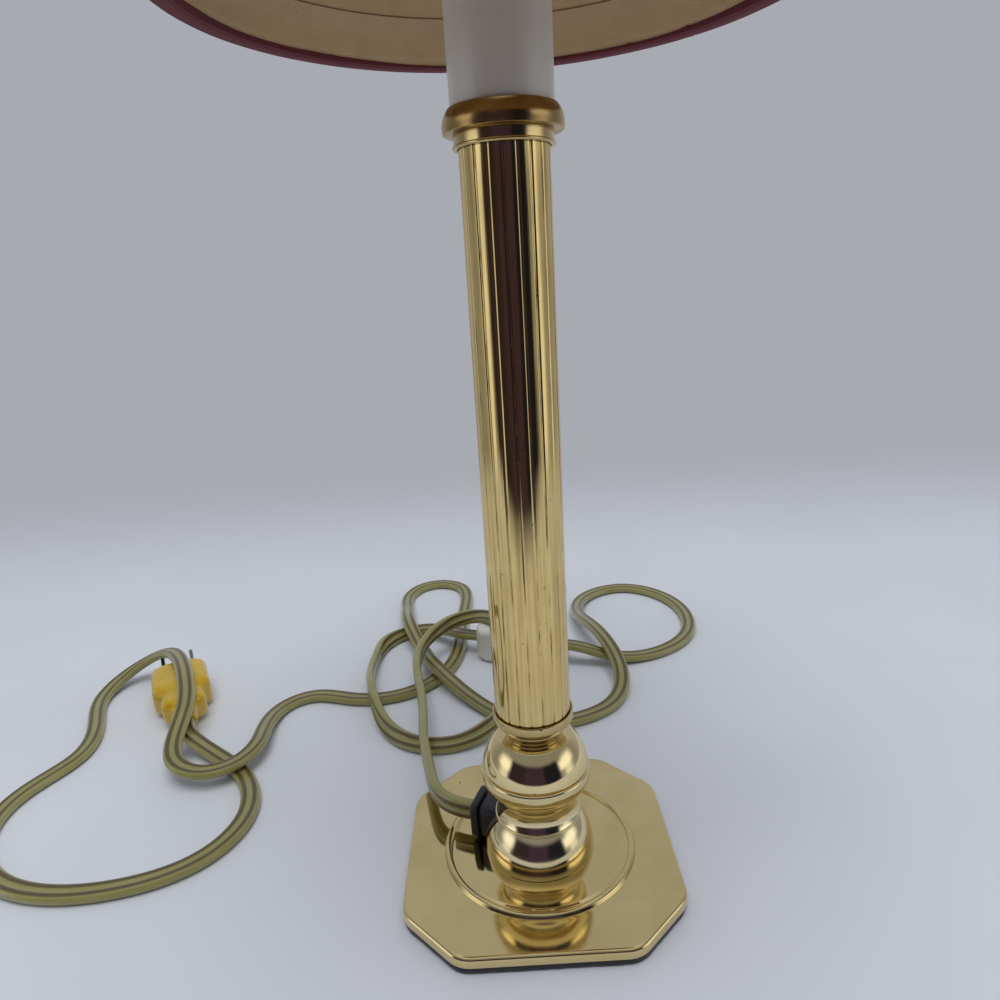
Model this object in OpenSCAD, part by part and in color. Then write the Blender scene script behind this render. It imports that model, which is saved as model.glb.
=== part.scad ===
// Small brass candlestick lamp with a clip-on fabric shade, an in-line cord switch and a moulded plug.
// Origin: centre of the base on the table, +Z up. Millimetres.

/* [Base] */
// Width of the square brass plate across its flats
plate_w = 82; // [70:1:100]
// Length cut off each side at a canted corner
plate_cut = 16.5; // [10:0.5:22]
// Radius of the plate's outline where a side meets a cant
plate_corner_r = 6; // [3:0.5:6]
// Thickness of the plate at its edge
plate_t = 3.4; // [3:0.1:6]
// Radius of the polished edge
plate_edge_r = 1.2; // [0.6:0.1:1.4]
// Diameter of the raised round step in the middle of the plate
plateau_d = 54.8; // [44:0.2:60]
// Height of that step above the plate
plateau_h = 0.6; // [0.5:0.1:2]
// Diameter of the half-round bead that runs round the step
step_bead_d = 1.8; // [1.4:0.1:2.4]
// Thickness of the felt pad
felt_t = 2.2; // [1.6:0.1:3]
// How far the felt stays inside the plate's edge
felt_inset = 0.9; // [0.8:0.1:3]

/* [Foot] */
// Diameter of the foot's dome on the plate
foot_d = 34; // [30:0.2:40]
// Diameter of the dome at its top
foot_top_d = 25; // [24:0.2:26]
// Height of the dome
foot_dome_h = 11.6; // [9:0.2:13]
// Height of the thin fillet ring above the dome
fillet_h = 1; // [0.6:0.1:2]
// Diameter of the fillet ring
fillet_d = 26.4; // [26:0.1:30]
// Height of the hollow-sided neck
neck_h = 8.2; // [7:0.2:12]
// Diameter of the neck at its narrowest
neck_d = 22.8; // [20:0.2:24]
// Diameter of the neck at its ends
neck_end_d = 25.4; // [24:0.2:26]

/* [Ball] */
// Diameter of the plain ring under the ball's bead
ball_foot_d = 26.4; // [25.6:0.2:28]
// Height of that ring
ball_foot_h = 0.4; // [0.3:0.1:1.5]
// Outer diameter of the bead round the ball
bead_d = 32.9; // [32:0.1:36]
// Height of the bead
bead_h = 8; // [7:0.1:9]
// Diameter of the ball's dome where it steps down to the bead
ball_d = 31.8; // [30.5:0.1:32]
// Diameter of the flat on top of the ball
ball_top_d = 22.2; // [20:0.2:24]
// Height of the dome
ball_dome_h = 9.8; // [8:0.1:11]

/* [Cup] */
// Diameter of the cup's waist
waist_d = 16.6; // [14:0.2:16.8]
// Diameter at the top of the hollow above the waist
waist_top_d = 19.4; // [19:0.1:20]
// Height of the hollow
waist_h = 3; // [2.6:0.1:5]
// Diameter of the thin bead above the hollow
cup_bead_d = 20; // [19.8:0.1:21]
// Height of that bead
cup_bead_h = 1.4; // [1:0.1:2]
// Height from the bead to the cup's lip
bowl_h = 1.6; // [1.2:0.1:3]
// Outer diameter of the cup's lip
lip_d = 23.8; // [23.6:0.1:26]
// Height of the straight lip
lip_h = 2.6; // [2:0.1:4]
// Depth to which the column stands in the cup
column_seat = 2; // [1:0.1:2]

/* [Column] */
// Outer diameter of the brass tube
column_d = 22.2; // [20:0.1:22.6]
// Wall of the tube
column_wall = 0.9; // [0.6:0.1:1.5]
// Length of the tube
column_len = 154.8; // [120:0.2:220]
// Number of upright grooves round the tube, with a broad reed between each two
groove_count = 20; // [16:1:24]
// Depth of one groove
groove_depth = 0.12; // [0.08:0.02:0.2]
// Radius of the groove's rounded bottom
groove_r = 1; // [0.8:0.1:1.4]

/* [Candle] */
// Diameter of the thin collar on top of the column
collar_d = 24.2; // [24:0.1:25]
// Height of the collar
collar_h = 3.3; // [2.6:0.1:5]
// Diameter of the small bead at the collar's lower edge
collar_bead_d = 24.9; // [24.6:0.1:26]
// Depth to which the column stands in the collar
collar_seat = 1.4; // [1:0.1:2]
// Greatest diameter of the half-round ring that holds the candle
ring_d = 29.2; // [28:0.1:32]
// Height of that ring
ring_h = 5.5; // [5:0.1:5.5]
// Radius of the ring's rounded side
ring_round_r = 5.8; // [5.6:0.1:7]
// Height of the ring's widest place above its underside
ring_belly_h = 1.5; // [1:0.1:2]
// Thickness of the ring's floor
ring_floor = 2.3; // [1.5:0.1:2.5]
// Outer diameter of the candle sleeve
candle_d = 24.8; // [24:0.1:24.8]
// Wall of the sleeve
candle_wall = 1.2; // [0.8:0.1:1.4]
// Length of the sleeve
candle_len = 63; // [60:1:80]

/* [Pipe and nuts] */
// Outer diameter of the threaded lamp pipe
pipe_d = 9.7; // [9:0.1:10]
// Bore of the pipe
pipe_bore = 6.9; // [6.4:0.1:7.2]
// Width of the hex nuts across their flats
nut_af = 14.3; // [13.5:0.1:15]
// Thickness of the two upper nuts
nut_t = 4; // [3:0.1:5]
// Thickness of the nut under the base
base_nut_t = 3; // [2:0.1:3.2]
// Diameter of the washers
washer_d = 18; // [17:0.2:19]
// Thickness of the washers
washer_t = 0.8; // [0.5:0.1:1]
// Depth of the recess for washer and nut under the plate
recess_h = 2.4; // [2:0.1:2.6]
// Length of pipe that stands above the top nut
pipe_tail = 1.4; // [0.5:0.1:3]

/* [Socket and bulb] */
// Diameter of the socket's insulating body
socket_d = 18.8; // [17.5:0.1:19]
// Length of that body
socket_len = 27; // [26:0.5:30]
// Width of the body across its two flats
socket_flats = 17.2; // [16.6:0.1:17.4]
// Depth of the socket's mouth below the candle's top
socket_sink = 3; // [2:0.5:5]
// Thickness of the socket's floor
socket_floor = 8; // [7:0.5:9]
// Bore of the screw shell
shell_bore = 12.5; // [12.4:0.1:13]
// Wall of the screw shell
shell_wall = 0.5; // [0.4:0.1:0.7]
// Thickness of the strap that carries the socket
strap_t = 1; // [0.8:0.1:1.2]
// Width of the strap
strap_w = 7; // [6:0.5:8]
// Diameter of the bulb's screw cap over its threads
cap_d = 11.9; // [11.5:0.1:12]
// Length of the bulb's screw cap
cap_len = 17; // [15:0.5:20]
// Greatest diameter of the bulb's glass
bulb_d = 35; // [30:0.5:38]
// Wall of the glass
glass_t = 0.8; // [0.6:0.1:1.2]
// Diameter of the glass at the cap
bulb_neck_d = 12.8; // [12:0.2:14]
// Height of the bulb's widest place above the candle's top
bulb_centre_h = 26; // [24:0.5:32]
// Height of the bulb's pointed end above its widest place
bulb_tip_h = 40; // [34:1:46]

/* [Shade] */
// Diameter of the shade's fabric at the bottom
shade_bottom_d = 156.8; // [130:0.2:200]
// Diameter of the fabric at the top
shade_top_d = 80.8; // [70:0.2:110]
// Height of the shade
shade_h = 110.8; // [95:0.2:130]
// How far the candle stands up inside the shade
shade_overlap = 33.3; // [25:0.1:45]
// Thickness of the outer fabric
cover_t = 0.7; // [0.5:0.1:1.2]
// Thickness of the lining
lining_t = 0.5; // [0.4:0.1:1]
// Depth of the lining's turned-up hem
hem_h = 19; // [12:1:24]
// Extra thickness of the hem
hem_t = 0.4; // [0.3:0.1:0.8]
// Thickness of the binding tape
tape_t = 0.5; // [0.4:0.1:0.8]
// Depth of the binding tape on the outside
tape_out = 5; // [4:0.5:8]
// Depth of the binding tape on the inside
tape_in = 4; // [3:0.5:5]
// Diameter of the frame's wire
wire_d = 2.2; // [1.8:0.1:2.6]
// Diameter of the bulb clip's wire
clip_wire_d = 1.8; // [1.4:0.1:2]
// Diameter of each clip loop at the middle of its wire
clip_loop_d = 18; // [16:0.5:19]
// Height of the clip loops' middle above the bulb's widest place
clip_lift = 2.5; // [1:0.5:4]

/* [Bushing] */
// Height of the bushing's middle above the foot of the dome
bushing_lift = 7; // [6.6:0.1:7.2]
// Turn of the bushing round the lamp's axis, away from the left side and towards the back
bushing_turn = 20; // [0:1:30]
// Diameter of the bushing's shank
bushing_d = 8.4; // [8:0.1:8.4]
// Bore of the bushing
bushing_bore = 7.1; // [6.8:0.1:7.2]
// Diameter of the bushing's flange
bushing_flange_d = 12; // [11:0.2:12]
// Thickness of the flange
bushing_flange_t = 2.8; // [2:0.1:3]
// Distance from the lamp's axis to the flange's outer face
bushing_reach = 20.6; // [20:0.1:24]

/* [Cord] */
// Width of the flat twin cord
cord_w = 7; // [6:0.1:7]
// Thickness of the flat twin cord
cord_t = 3.6; // [3:0.1:3.6]
// Diameter of one insulated conductor
lead_d = 2.7; // [2.2:0.1:2.8]

/* [Switch] */
// Length of the switch
switch_len = 42; // [40:0.5:42]
// Width of the switch
switch_w = 22; // [20:0.5:24]
// Height of the switch
switch_h = 17; // [16:0.5:18]
// Radius of the casing's corners in plan
switch_corner_r = 8; // [6:0.5:9]
// Radius of the casing's edges
switch_edge_r = 3; // [2:0.5:4]
// Diameter of the thumb wheel
wheel_d = 25; // [24.5:0.1:26]
// Thickness of the thumb wheel
wheel_t = 5; // [4:0.1:5.4]
// Number of grip notches on the wheel
wheel_notches = 20; // [12:1:28]
// Diameter of the wheel's axle
axle_d = 3; // [2.5:0.1:4]

/* [Plug] */
// Width of the plug's body
plug_w = 24; // [22:0.5:26]
// Thickness of the plug's body
plug_t = 15; // [14.5:0.5:15]
// Length of the plug's body
plug_len = 24; // [20:0.5:28]
// Length of the narrower grip behind the body
grip_len = 11; // [8:0.5:14]
// Width of the grip
grip_w = 18; // [15:0.5:20]
// Thickness of the grip
grip_t = 12; // [10:0.5:13]
// Length of the tapered tail
tail_len = 9; // [9:0.5:14]
// Length of the blades
blade_len = 17; // [15:0.5:18]
// Width of a blade
blade_w = 6.4; // [6:0.1:8]
// Thickness of a blade
blade_t = 1.5; // [1.4:0.1:1.6]
// Distance between the blades' middles
blade_gap = 12.7; // [12.5:0.1:13]

/* [Hidden] */
$fn = 96;

// Clearances
slip = 0.2;
sleeve_slip = 0.3;
pipe_slip = 0.1;
run_slip = 0.05;
loop_slip = 0.35;
eps = 0.05;

// Small fixed details of the turned pieces
groove_turn = 13.3;
slab_lap = 1;
step_groove_h = 0.6;
pipe_end = 0.3;
contact_t = 1;
bulb_contact_h = 2;
plateau_edge_r = 0.3;
step_bead_gap = 0.25;
ball_foot_lap = 0.2;
neck_cavity_d = 14.4;
pipe_hole_d = 6.8;
screw_d = 2.5;
screw_head_d = 4.8;
screw_head_t = 1;
screw_len = 4;
screw_end_gap = 0.5;
shell_gap = 0.5;
contact_share = 0.6;

// Heights of the stack, from the table up
z_plate = felt_t;
z_plate_top = z_plate + plate_t;
z_foot = z_plate_top + plateau_h;
z_fillet = z_foot + foot_dome_h;
z_neck = z_fillet + fillet_h;
z_ball = z_neck + neck_h;
z_bead = z_ball + ball_foot_h - ball_foot_lap;
z_ball_step = z_ball + ball_foot_h + bead_h + step_groove_h - ball_foot_lap;
z_cup = z_ball_step + ball_dome_h;
z_cup_bead = z_cup + waist_h;
z_bowl = z_cup_bead + cup_bead_h;
z_lip_top = z_bowl + bowl_h + lip_h;
z_column = z_lip_top - column_seat;
z_column_top = z_column + column_len;
z_collar = z_column_top - collar_seat;
z_ring = z_collar + collar_h;
z_ring_floor = z_ring + ring_floor;
z_candle_top = z_ring_floor + candle_len;
z_ring_nut = z_ring_floor + washer_t;
z_strap = z_ring_nut + nut_t;
z_strap_nut = z_strap + strap_t;
z_pipe_top = z_strap_nut + nut_t + pipe_tail;
z_recess = z_plate + recess_h;
z_base_nut = z_recess - washer_t - base_nut_t;
z_pipe = z_base_nut - pipe_end;
z_bushing = z_foot + bushing_lift;
z_socket_top = z_candle_top - socket_sink;
z_socket = z_socket_top - socket_len;
z_contact = z_socket + socket_floor;
z_bulb_tip_low = z_contact + contact_t;
z_cap = z_bulb_tip_low + bulb_contact_h;
z_bulb = z_candle_top + bulb_centre_h;
z_shade = z_candle_top - shade_overlap;
z_shade_top = z_shade + shade_h;

// A dome is part of a sphere: its centre below or above the dome's foot, and its radius
function dome_centre(r_low, r_high, h) = (r_high * r_high + h * h - r_low * r_low) / (2 * h);
function dome_radius(r_low, r_high, h) = norm([r_low, dome_centre(r_low, r_high, h)]);

// Radius of the arc that hollows a side of height h by a given depth
function hollow_radius(h, depth) = (h * h / 4 + depth * depth) / (2 * depth);

module dome_profile(r_low, r_high, h) {
    intersection() {
        translate([0, dome_centre(r_low, r_high, h)])
            circle(dome_radius(r_low, r_high, h));
        square([dome_radius(r_low, r_high, h), h]);
    }
}

// Solid of revolution standing on height z
module turned(z) {
    translate([0, 0, z])
        rotate_extrude()
            children();
}

module bore(d, z_low, z_high) {
    translate([0, 0, z_low - eps])
        cylinder(d = d, h = z_high - z_low + 2 * eps);
}

// Corners of a square with canted corners, clockwise, drawn in so that a rounding of radius r restores it
function canted_corners(w, cut, r) =
    let (a = w / 2 - r, b = a - cut + (2 - sqrt(2)) * r)
    [[a, b], [a, -b], [b, -a], [-b, -a], [-a, -b], [-a, b], [-b, a], [b, a]];

function box_corners(len, w, r) =
    let (a = len / 2 - r, b = w / 2 - r)
    [[a, b], [a, -b], [-a, -b], [-a, b]];

// Half section of a slab's edge: reach outwards, thickness upwards, rounded below and above
module edge_profile(reach, t, r_low, r_high) {
    intersection() {
        square([reach, t]);
        union() {
            translate([0, r_low])
                square([reach, t - r_low - r_high]);
            square([reach - max(r_low, r_high), t]);
            if (r_low > 0)
                translate([reach - r_low, r_low])
                    circle(r_low);
            if (r_high > 0)
                translate([reach - r_high, t - r_high])
                    circle(r_high);
        }
    }
}

// Slab with rounded corners in plan and rounded edges, from clockwise inner corners.
// Each side's bar reaches into the middle by slab_lap, so that the pieces overlap.
module rounded_slab(corners, corner_r, t, r_low, r_high) {
    linear_extrude(t)
        polygon(corners);
    for (i = [0 : len(corners) - 1]) {
        from = corners[i];
        to = corners[(i + 1) % len(corners)];
        along = to - from;
        translate(from)
            rotate_extrude()
                edge_profile(corner_r, t, r_low, r_high);
        translate(from)
            rotate(atan2(along[1], along[0]))
                rotate([90, 0, 90])
                    linear_extrude(norm(along))
                        translate([-slab_lap, 0])
                            edge_profile(corner_r + slab_lap, t, r_low, r_high);
    }
}

module hex_nut(t, z) {
    translate([0, 0, z])
        difference() {
            cylinder(d = nut_af / cos(30), h = t, $fn = 6);
            bore(pipe_d + 2 * pipe_slip, 0, t);
        }
}

module washer(z) {
    translate([0, 0, z])
        difference() {
            cylinder(d = washer_d, h = washer_t);
            bore(pipe_d + 2 * pipe_slip, 0, washer_t);
        }
}

// Base

felt_hole_d = nut_af / cos(30) + 5;
recess_d = washer_d + 2;

module felt_pad() {
    felt_w = plate_w - 2 * felt_inset;
    felt_cut = plate_cut - (2 - sqrt(2)) * felt_inset;
    color("#26262a")
        difference() {
            linear_extrude(felt_t)
                polygon(canted_corners(felt_w, felt_cut, 0));
            bore(felt_hole_d, 0, felt_t);
        }
}

module base_plate() {
    plateau_r = plateau_d / 2;
    bead_r = step_bead_d / 2;
    color("#b5985a")
        difference() {
            union() {
                translate([0, 0, z_plate])
                    rounded_slab(canted_corners(plate_w, plate_cut, plate_corner_r), plate_corner_r,
                                 plate_t, plate_edge_r, plate_edge_r);
                turned(z_plate + plate_t / 2)
                    edge_profile(plateau_r, plate_t / 2 + plateau_h, 0, plateau_edge_r);
                turned(z_plate_top)
                    intersection() {
                        translate([plateau_r + step_bead_gap + bead_r, bead_r / 4])
                            circle(bead_r);
                        translate([0, -plate_t / 2])
                            square([plate_w / 2, plate_t]);
                    }
            }
            bore(pipe_d + 2 * pipe_slip, z_plate, z_foot);
            bore(recess_d, z_plate - eps, z_recess - eps);
        }
}

module base_washer() {
    color("#9a9a98")
        washer(z_recess - washer_t);
}

module base_nut() {
    color("#8e8e8c")
        hex_nut(base_nut_t, z_base_nut);
}

// Stem

// Along the bushing's axis, outwards from the lamp's axis
module at_bushing() {
    translate([0, 0, z_bushing])
        rotate([0, -90, -bushing_turn])
            children();
}

module foot() {
    neck_depth = (neck_end_d - neck_d) / 2;
    neck_arc = hollow_radius(neck_h, neck_depth);
    cavity_floor = z_bushing - bushing_d / 2 - 0.6;
    cavity_top = z_ball - 2;
    color("#b9994f")
        difference() {
            union() {
                turned(z_foot)
                    dome_profile(foot_d / 2, foot_top_d / 2, foot_dome_h);
                turned(z_fillet)
                    edge_profile(fillet_d / 2, fillet_h, fillet_h / 2 - eps, fillet_h / 2 - eps);
                turned(z_neck)
                    difference() {
                        square([neck_end_d / 2, neck_h]);
                        translate([neck_d / 2 + neck_arc, neck_h / 2])
                            circle(neck_arc);
                    }
            }
            bore(pipe_d + 2 * pipe_slip, z_foot, z_ball);
            translate([0, 0, cavity_floor])
                cylinder(d = neck_cavity_d, h = cavity_top - cavity_floor);
            at_bushing()
                cylinder(d = bushing_d + 2 * run_slip, h = foot_d);
        }
}

module cord_bushing() {
    inner_end = neck_cavity_d / 2 - 1;
    inner_edge_r = 0.4;
    outer_edge_r = 0.9;
    color("#151518")
        at_bushing()
            difference() {
                union() {
                    translate([0, 0, inner_end])
                        cylinder(d = bushing_d, h = bushing_reach - inner_end);
                    translate([0, 0, bushing_reach - bushing_flange_t])
                        rotate_extrude()
                            edge_profile(bushing_flange_d / 2, bushing_flange_t, inner_edge_r,
                                         outer_edge_r);
                }
                bore(bushing_bore, inner_end, bushing_reach);
            }
}

module ball() {
    bead_low_r = 5.8;
    bead_top_r = 0.9;
    groove_d = ball_d - 1.4;
    color("#bd9d52")
        difference() {
            union() {
                turned(z_ball)
                    square([ball_foot_d / 2, ball_foot_h + bead_h / 2]);
                turned(z_bead)
                    edge_profile(bead_d / 2, bead_h, bead_low_r, bead_top_r);
                turned(z_bead)
                    square([groove_d / 2, z_ball_step - z_bead]);
                turned(z_ball_step)
                    dome_profile(ball_d / 2, ball_top_d / 2, ball_dome_h);
            }
            bore(pipe_d + 2 * pipe_slip, z_ball, z_cup);
        }
}

module column_cup() {
    waist_depth = (waist_top_d - waist_d) / 2;
    waist_low = 0.6;
    waist_arc = hollow_radius(2 * (waist_h - waist_low), waist_depth);
    bead_r = cup_bead_h / 2;
    lip_edge_r = 0.3;
    color("#b99a50")
        difference() {
            union() {
                turned(z_cup)
                    difference() {
                        square([waist_top_d / 2, waist_h]);
                        translate([waist_d / 2 + waist_arc, waist_low])
                            circle(waist_arc);
                        translate([waist_d / 2, -eps])
                            square([waist_top_d, waist_low + eps]);
                    }
                turned(z_cup_bead)
                    union() {
                        square([cup_bead_d / 2 - bead_r, cup_bead_h]);
                        translate([cup_bead_d / 2 - bead_r, bead_r])
                            circle(bead_r);
                    }
                turned(z_bowl)
                    polygon([[0, 0], [waist_top_d / 2, 0], [lip_d / 2, bowl_h], [0, bowl_h]]);
                turned(z_bowl + bowl_h)
                    edge_profile(lip_d / 2, lip_h, lip_edge_r, lip_edge_r);
            }
            bore(pipe_d + 2 * pipe_slip, z_cup, z_lip_top);
            bore(column_d + 2 * slip, z_column + eps, z_lip_top);
        }
}

module lamp_pipe() {
    color("#a9a294")
        difference() {
            translate([0, 0, z_pipe])
                cylinder(d = pipe_d, h = z_pipe_top - z_pipe);
            bore(pipe_bore, z_pipe, z_pipe_top);
            at_bushing()
                cylinder(d = pipe_hole_d, h = pipe_d);
        }
}

// Tube with narrow round-bottomed grooves, which leave broad reeds between them
module column() {
    color("#b89a55")
        translate([0, 0, z_column])
            linear_extrude(column_len)
                difference() {
                    circle(d = column_d);
                    circle(d = column_d - 2 * column_wall);
                    for (i = [0 : groove_count - 1])
                        rotate(groove_turn + i * 360 / groove_count)
                            translate([column_d / 2 + groove_r - groove_depth, 0])
                                circle(groove_r);
                }
}

// Candle

module collar_ring() {
    bead_h_low = 1;
    bead_edge_r = 0.4;
    color("#b99a50")
        difference() {
            union() {
                turned(z_collar)
                    square([collar_d / 2, collar_h]);
                turned(z_collar)
                    edge_profile(collar_bead_d / 2, bead_h_low, bead_edge_r, bead_edge_r);
            }
            bore(pipe_d + 2 * pipe_slip, z_collar, z_ring);
            bore(column_d + 2 * slip, z_collar - 1, z_column_top - eps);
        }
}

module candle_ring() {
    color("#b08a42")
        difference() {
            union() {
                turned(z_ring)
                    intersection() {
                        translate([ring_d / 2 - ring_round_r, ring_belly_h])
                            circle(ring_round_r);
                        square([ring_d / 2, ring_h]);
                    }
                turned(z_ring)
                    square([ring_d / 2 - ring_round_r, ring_floor]);
            }
            bore(pipe_d + 2 * pipe_slip, z_ring, z_ring + ring_h);
            bore(candle_d + 2 * sleeve_slip, z_ring_floor + eps, z_ring + ring_h);
        }
}

module candle_sleeve() {
    color("#e6e2d8")
        translate([0, 0, z_ring_floor])
            difference() {
                cylinder(d = candle_d, h = candle_len);
                bore(candle_d - 2 * candle_wall, 0, candle_len);
            }
}

module ring_washer() {
    color("#9a9a98")
        washer(z_ring_floor);
}

module ring_nut() {
    color("#8e8e8c")
        hex_nut(nut_t, z_ring_nut);
}

// Socket

z_socket_screw = z_socket + socket_floor / 2;

module across_flats() {
    for (turn = [0, 180])
        rotate(turn)
            translate([0, socket_flats / 2, z_socket_screw])
                rotate([-90, 0, 0])
                    children();
}

module socket_bracket() {
    strap_top = z_socket_screw + strap_w / 2;
    color("#9d9d9a")
        difference() {
            union() {
                translate([0, 0, z_strap])
                    intersection() {
                        cylinder(d = socket_flats + 2 * strap_t, h = strap_t);
                        translate([-washer_d / 2, -socket_flats, 0])
                            cube([washer_d, 2 * socket_flats, strap_t]);
                    }
                for (side = [-1, 1])
                    translate([-strap_w / 2, side * (socket_flats + strap_t) / 2 - strap_t / 2, z_strap])
                        cube([strap_w, strap_t, strap_top - z_strap]);
            }
            bore(pipe_d + 2 * pipe_slip, z_strap, z_strap_nut);
            across_flats()
                translate([0, 0, -eps])
                    cylinder(d = screw_d + 2 * run_slip, h = strap_t + 2 * eps);
        }
}

module bracket_nut() {
    color("#8e8e8c")
        hex_nut(nut_t, z_strap_nut);
}

module socket_body() {
    shell_d = shell_bore + 2 * shell_wall;
    color("#3a2c22")
        difference() {
            intersection() {
                translate([0, 0, z_socket])
                    cylinder(d = socket_d, h = socket_len);
                translate([-socket_d, -socket_flats / 2, z_socket])
                    cube([2 * socket_d, socket_flats, socket_len]);
            }
            bore(shell_d + 2 * run_slip, z_contact + eps, z_socket_top);
            across_flats()
                translate([0, 0, -screw_len])
                    cylinder(d = screw_d + 2 * run_slip, h = screw_len + eps);
        }
}

module socket_shell() {
    shell_d = shell_bore + 2 * shell_wall;
    shell_low = z_contact + contact_t + shell_gap;
    shell_len = z_socket_top - shell_low - shell_gap;
    color("#c9a24a")
        translate([0, 0, shell_low])
            difference() {
                cylinder(d = shell_d, h = shell_len);
                bore(shell_bore, 0, shell_len);
            }
}

module socket_contact() {
    color("#c9a24a")
        translate([0, 0, z_contact])
            cylinder(d = shell_bore * contact_share, h = contact_t);
}

module socket_screws() {
    color("#b8b8b4")
        across_flats() {
            translate([0, 0, screw_end_gap - screw_len])
                cylinder(d = screw_d, h = screw_len - screw_end_gap + strap_t);
            translate([0, 0, strap_t])
                cylinder(d = screw_head_d, h = screw_head_t);
        }
}

// The two conductors come in through the bushing one above the other, and rise side by side in the pipe
module inner_leads() {
    offset_x = pipe_bore / 4 - 0.1;
    color("#8a7440")
        for (side = [-1, 1]) rotate([0, 0, -bushing_turn]) {
            z_in = z_bushing - side * offset_x;
            translate([side * offset_x, 0, z_in]) {
                rotate([0, -90, 0])
                    cylinder(d = lead_d, h = bushing_reach + side * offset_x);
                sphere(d = lead_d);
                cylinder(d = lead_d, h = z_socket - z_in);
            }
        }
}

// Bulb

tip_r = (bulb_tip_h * bulb_tip_h + bulb_d * bulb_d / 4) / bulb_d;
cone_dip = 5;
cone_lap = 1.1;

// The bulb's pointed end, belly and the cone down to its cap, drawn in by a given amount.
// The cone is aimed a little below the belly's tangent, so that it ends inside the belly.
module bulb_form(inset) {
    belly_r = bulb_d / 2 - inset;
    neck_r = bulb_neck_d / 2 - inset;
    neck_low = z_cap + cap_len;
    drop = z_bulb - neck_low;
    meets = atan(neck_r / drop) + acos(belly_r / norm([neck_r, drop])) - cone_dip;
    cone_h = (drop - belly_r * cos(meets)) * cone_lap;
    cone_r = neck_r + (belly_r * sin(meets) - neck_r) * cone_lap;
    turned(z_bulb)
        intersection() {
            translate([bulb_d / 2 - tip_r, 0])
                circle(tip_r - inset);
            square([bulb_d, bulb_tip_h]);
        }
    turned(z_bulb)
        intersection() {
            circle(belly_r);
            translate([0, -bulb_d])
                square([bulb_d, bulb_d]);
        }
    translate([0, 0, neck_low])
        cylinder(r1 = neck_r, r2 = cone_r, h = cone_h);
}

module bulb_glass() {
    color("#f4efe2", 0.5)
        difference() {
            bulb_form(0);
            bulb_form(glass_t);
        }
}

module bulb_cap() {
    thread_h = 2.54;
    thread_r = 0.6;
    core_r = cap_d / 2 - thread_r;
    plain_len = 5;
    cap_edge_r = 1.5;
    turns = floor((cap_len - plain_len) / thread_h);
    color("#c8a456")
        union() {
            turned(z_cap)
                edge_profile(core_r, cap_len, cap_edge_r, 0);
            for (i = [1 : turns])
                turned(z_cap + cap_edge_r + i * thread_h)
                    translate([core_r - eps, 0])
                        circle(thread_r);
        }
}

module bulb_contact() {
    contact_r = 3;
    contact_edge_r = 0.8;
    color("#8f8f92")
        turned(z_bulb_tip_low)
            edge_profile(contact_r, bulb_contact_h, contact_edge_r, 0);
}

module bulb_filament() {
    stem_d = 4;
    stem_h = 16;
    wire_h = 16;
    wire_spread = 3.5;
    wire_foot = 1.2;
    wire_sink = 1;
    support_d = 0.8;
    coil_d = 0.9;
    coil_drop = 0.6;
    coil_half = wire_spread + wire_foot;
    z_stem = z_cap + cap_len;
    z_wire = z_stem + stem_h - wire_sink;
    color("#d9d4c4") {
        translate([0, 0, z_stem])
            cylinder(d = stem_d, h = stem_h);
        for (side = [-1, 1])
            translate([side * wire_foot, 0, z_wire])
                rotate([0, side * atan(wire_spread / wire_h), 0])
                    cylinder(d = support_d, h = wire_h);
        translate([-coil_half, 0, z_wire + wire_h - coil_drop])
            rotate([0, 90, 0])
                cylinder(d = coil_d, h = 2 * coil_half);
    }
}

// Shade

slope = (shade_bottom_d - shade_top_d) / 2 / shade_h;
function shade_r(z) = shade_bottom_d / 2 - (z - z_shade) * slope;
ring_gap = 0.2;
wire_r = wire_d / 2;
inside_r = cover_t + lining_t;
// Each clip loop stands just off the glass at its top, on the pointed end, and at its bottom, on the belly
z_clip = z_bulb + clip_lift;
clip_off = clip_wire_d / 2 + loop_slip;
clip_top = clip_lift + clip_loop_d / 2;
clip_low = clip_loop_d / 2 - clip_lift;
clip_x = max(
    bulb_d / 2 - tip_r + sqrt(pow(tip_r + clip_off, 2) - clip_top * clip_top),
    sqrt(pow(bulb_d / 2 + clip_off, 2) - clip_low * clip_low)
);

// Point of the half section that lies "inward" mm inside the shade's outer surface
function on_shade(inward, z) = [shade_r(z) - inward, z];

module frame_ring(z) {
    turned(z)
        translate([shade_r(z) - inside_r - ring_gap - wire_r - hem_t, 0])
            circle(wire_r);
}

rim_gap = 0.5;
z_low_ring = z_shade + wire_r + rim_gap;
z_top_ring = z_shade_top - wire_r - rim_gap;

module clip_loops() {
    color("#b9a06a")
        for (side = [-1, 1])
            translate([side * clip_x, 0, z_clip])
                rotate([0, 90, 0])
                    rotate_extrude()
                        translate([clip_loop_d / 2, 0])
                            circle(d = clip_wire_d);
}

module clip_arms() {
    z_arm = z_clip + clip_loop_d / 2 + clip_wire_d + loop_slip;
    arm_end = shade_r(z_top_ring) - inside_r - ring_gap - wire_r - hem_t;
    rise = z_top_ring - z_arm;
    run = arm_end - clip_x;
    color("#b9a06a")
        for (side = [-1, 1])
            translate([side * clip_x, 0, z_arm]) {
                sphere(d = clip_wire_d);
                rotate([0, side * atan2(run, rise), 0])
                    cylinder(d = clip_wire_d, h = norm([run, rise]));
            }
}

module shade_top_ring() {
    color("#b9a06a")
        frame_ring(z_top_ring);
}

module shade_bottom_ring() {
    color("#b9a06a")
        frame_ring(z_low_ring);
}

module shade_cover() {
    color("#5e1a28")
        rotate_extrude($fn = 180)
            polygon([
                on_shade(0, z_shade), on_shade(0, z_shade_top), on_shade(cover_t, z_shade_top),
                on_shade(cover_t, z_shade)
            ]);
}

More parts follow.
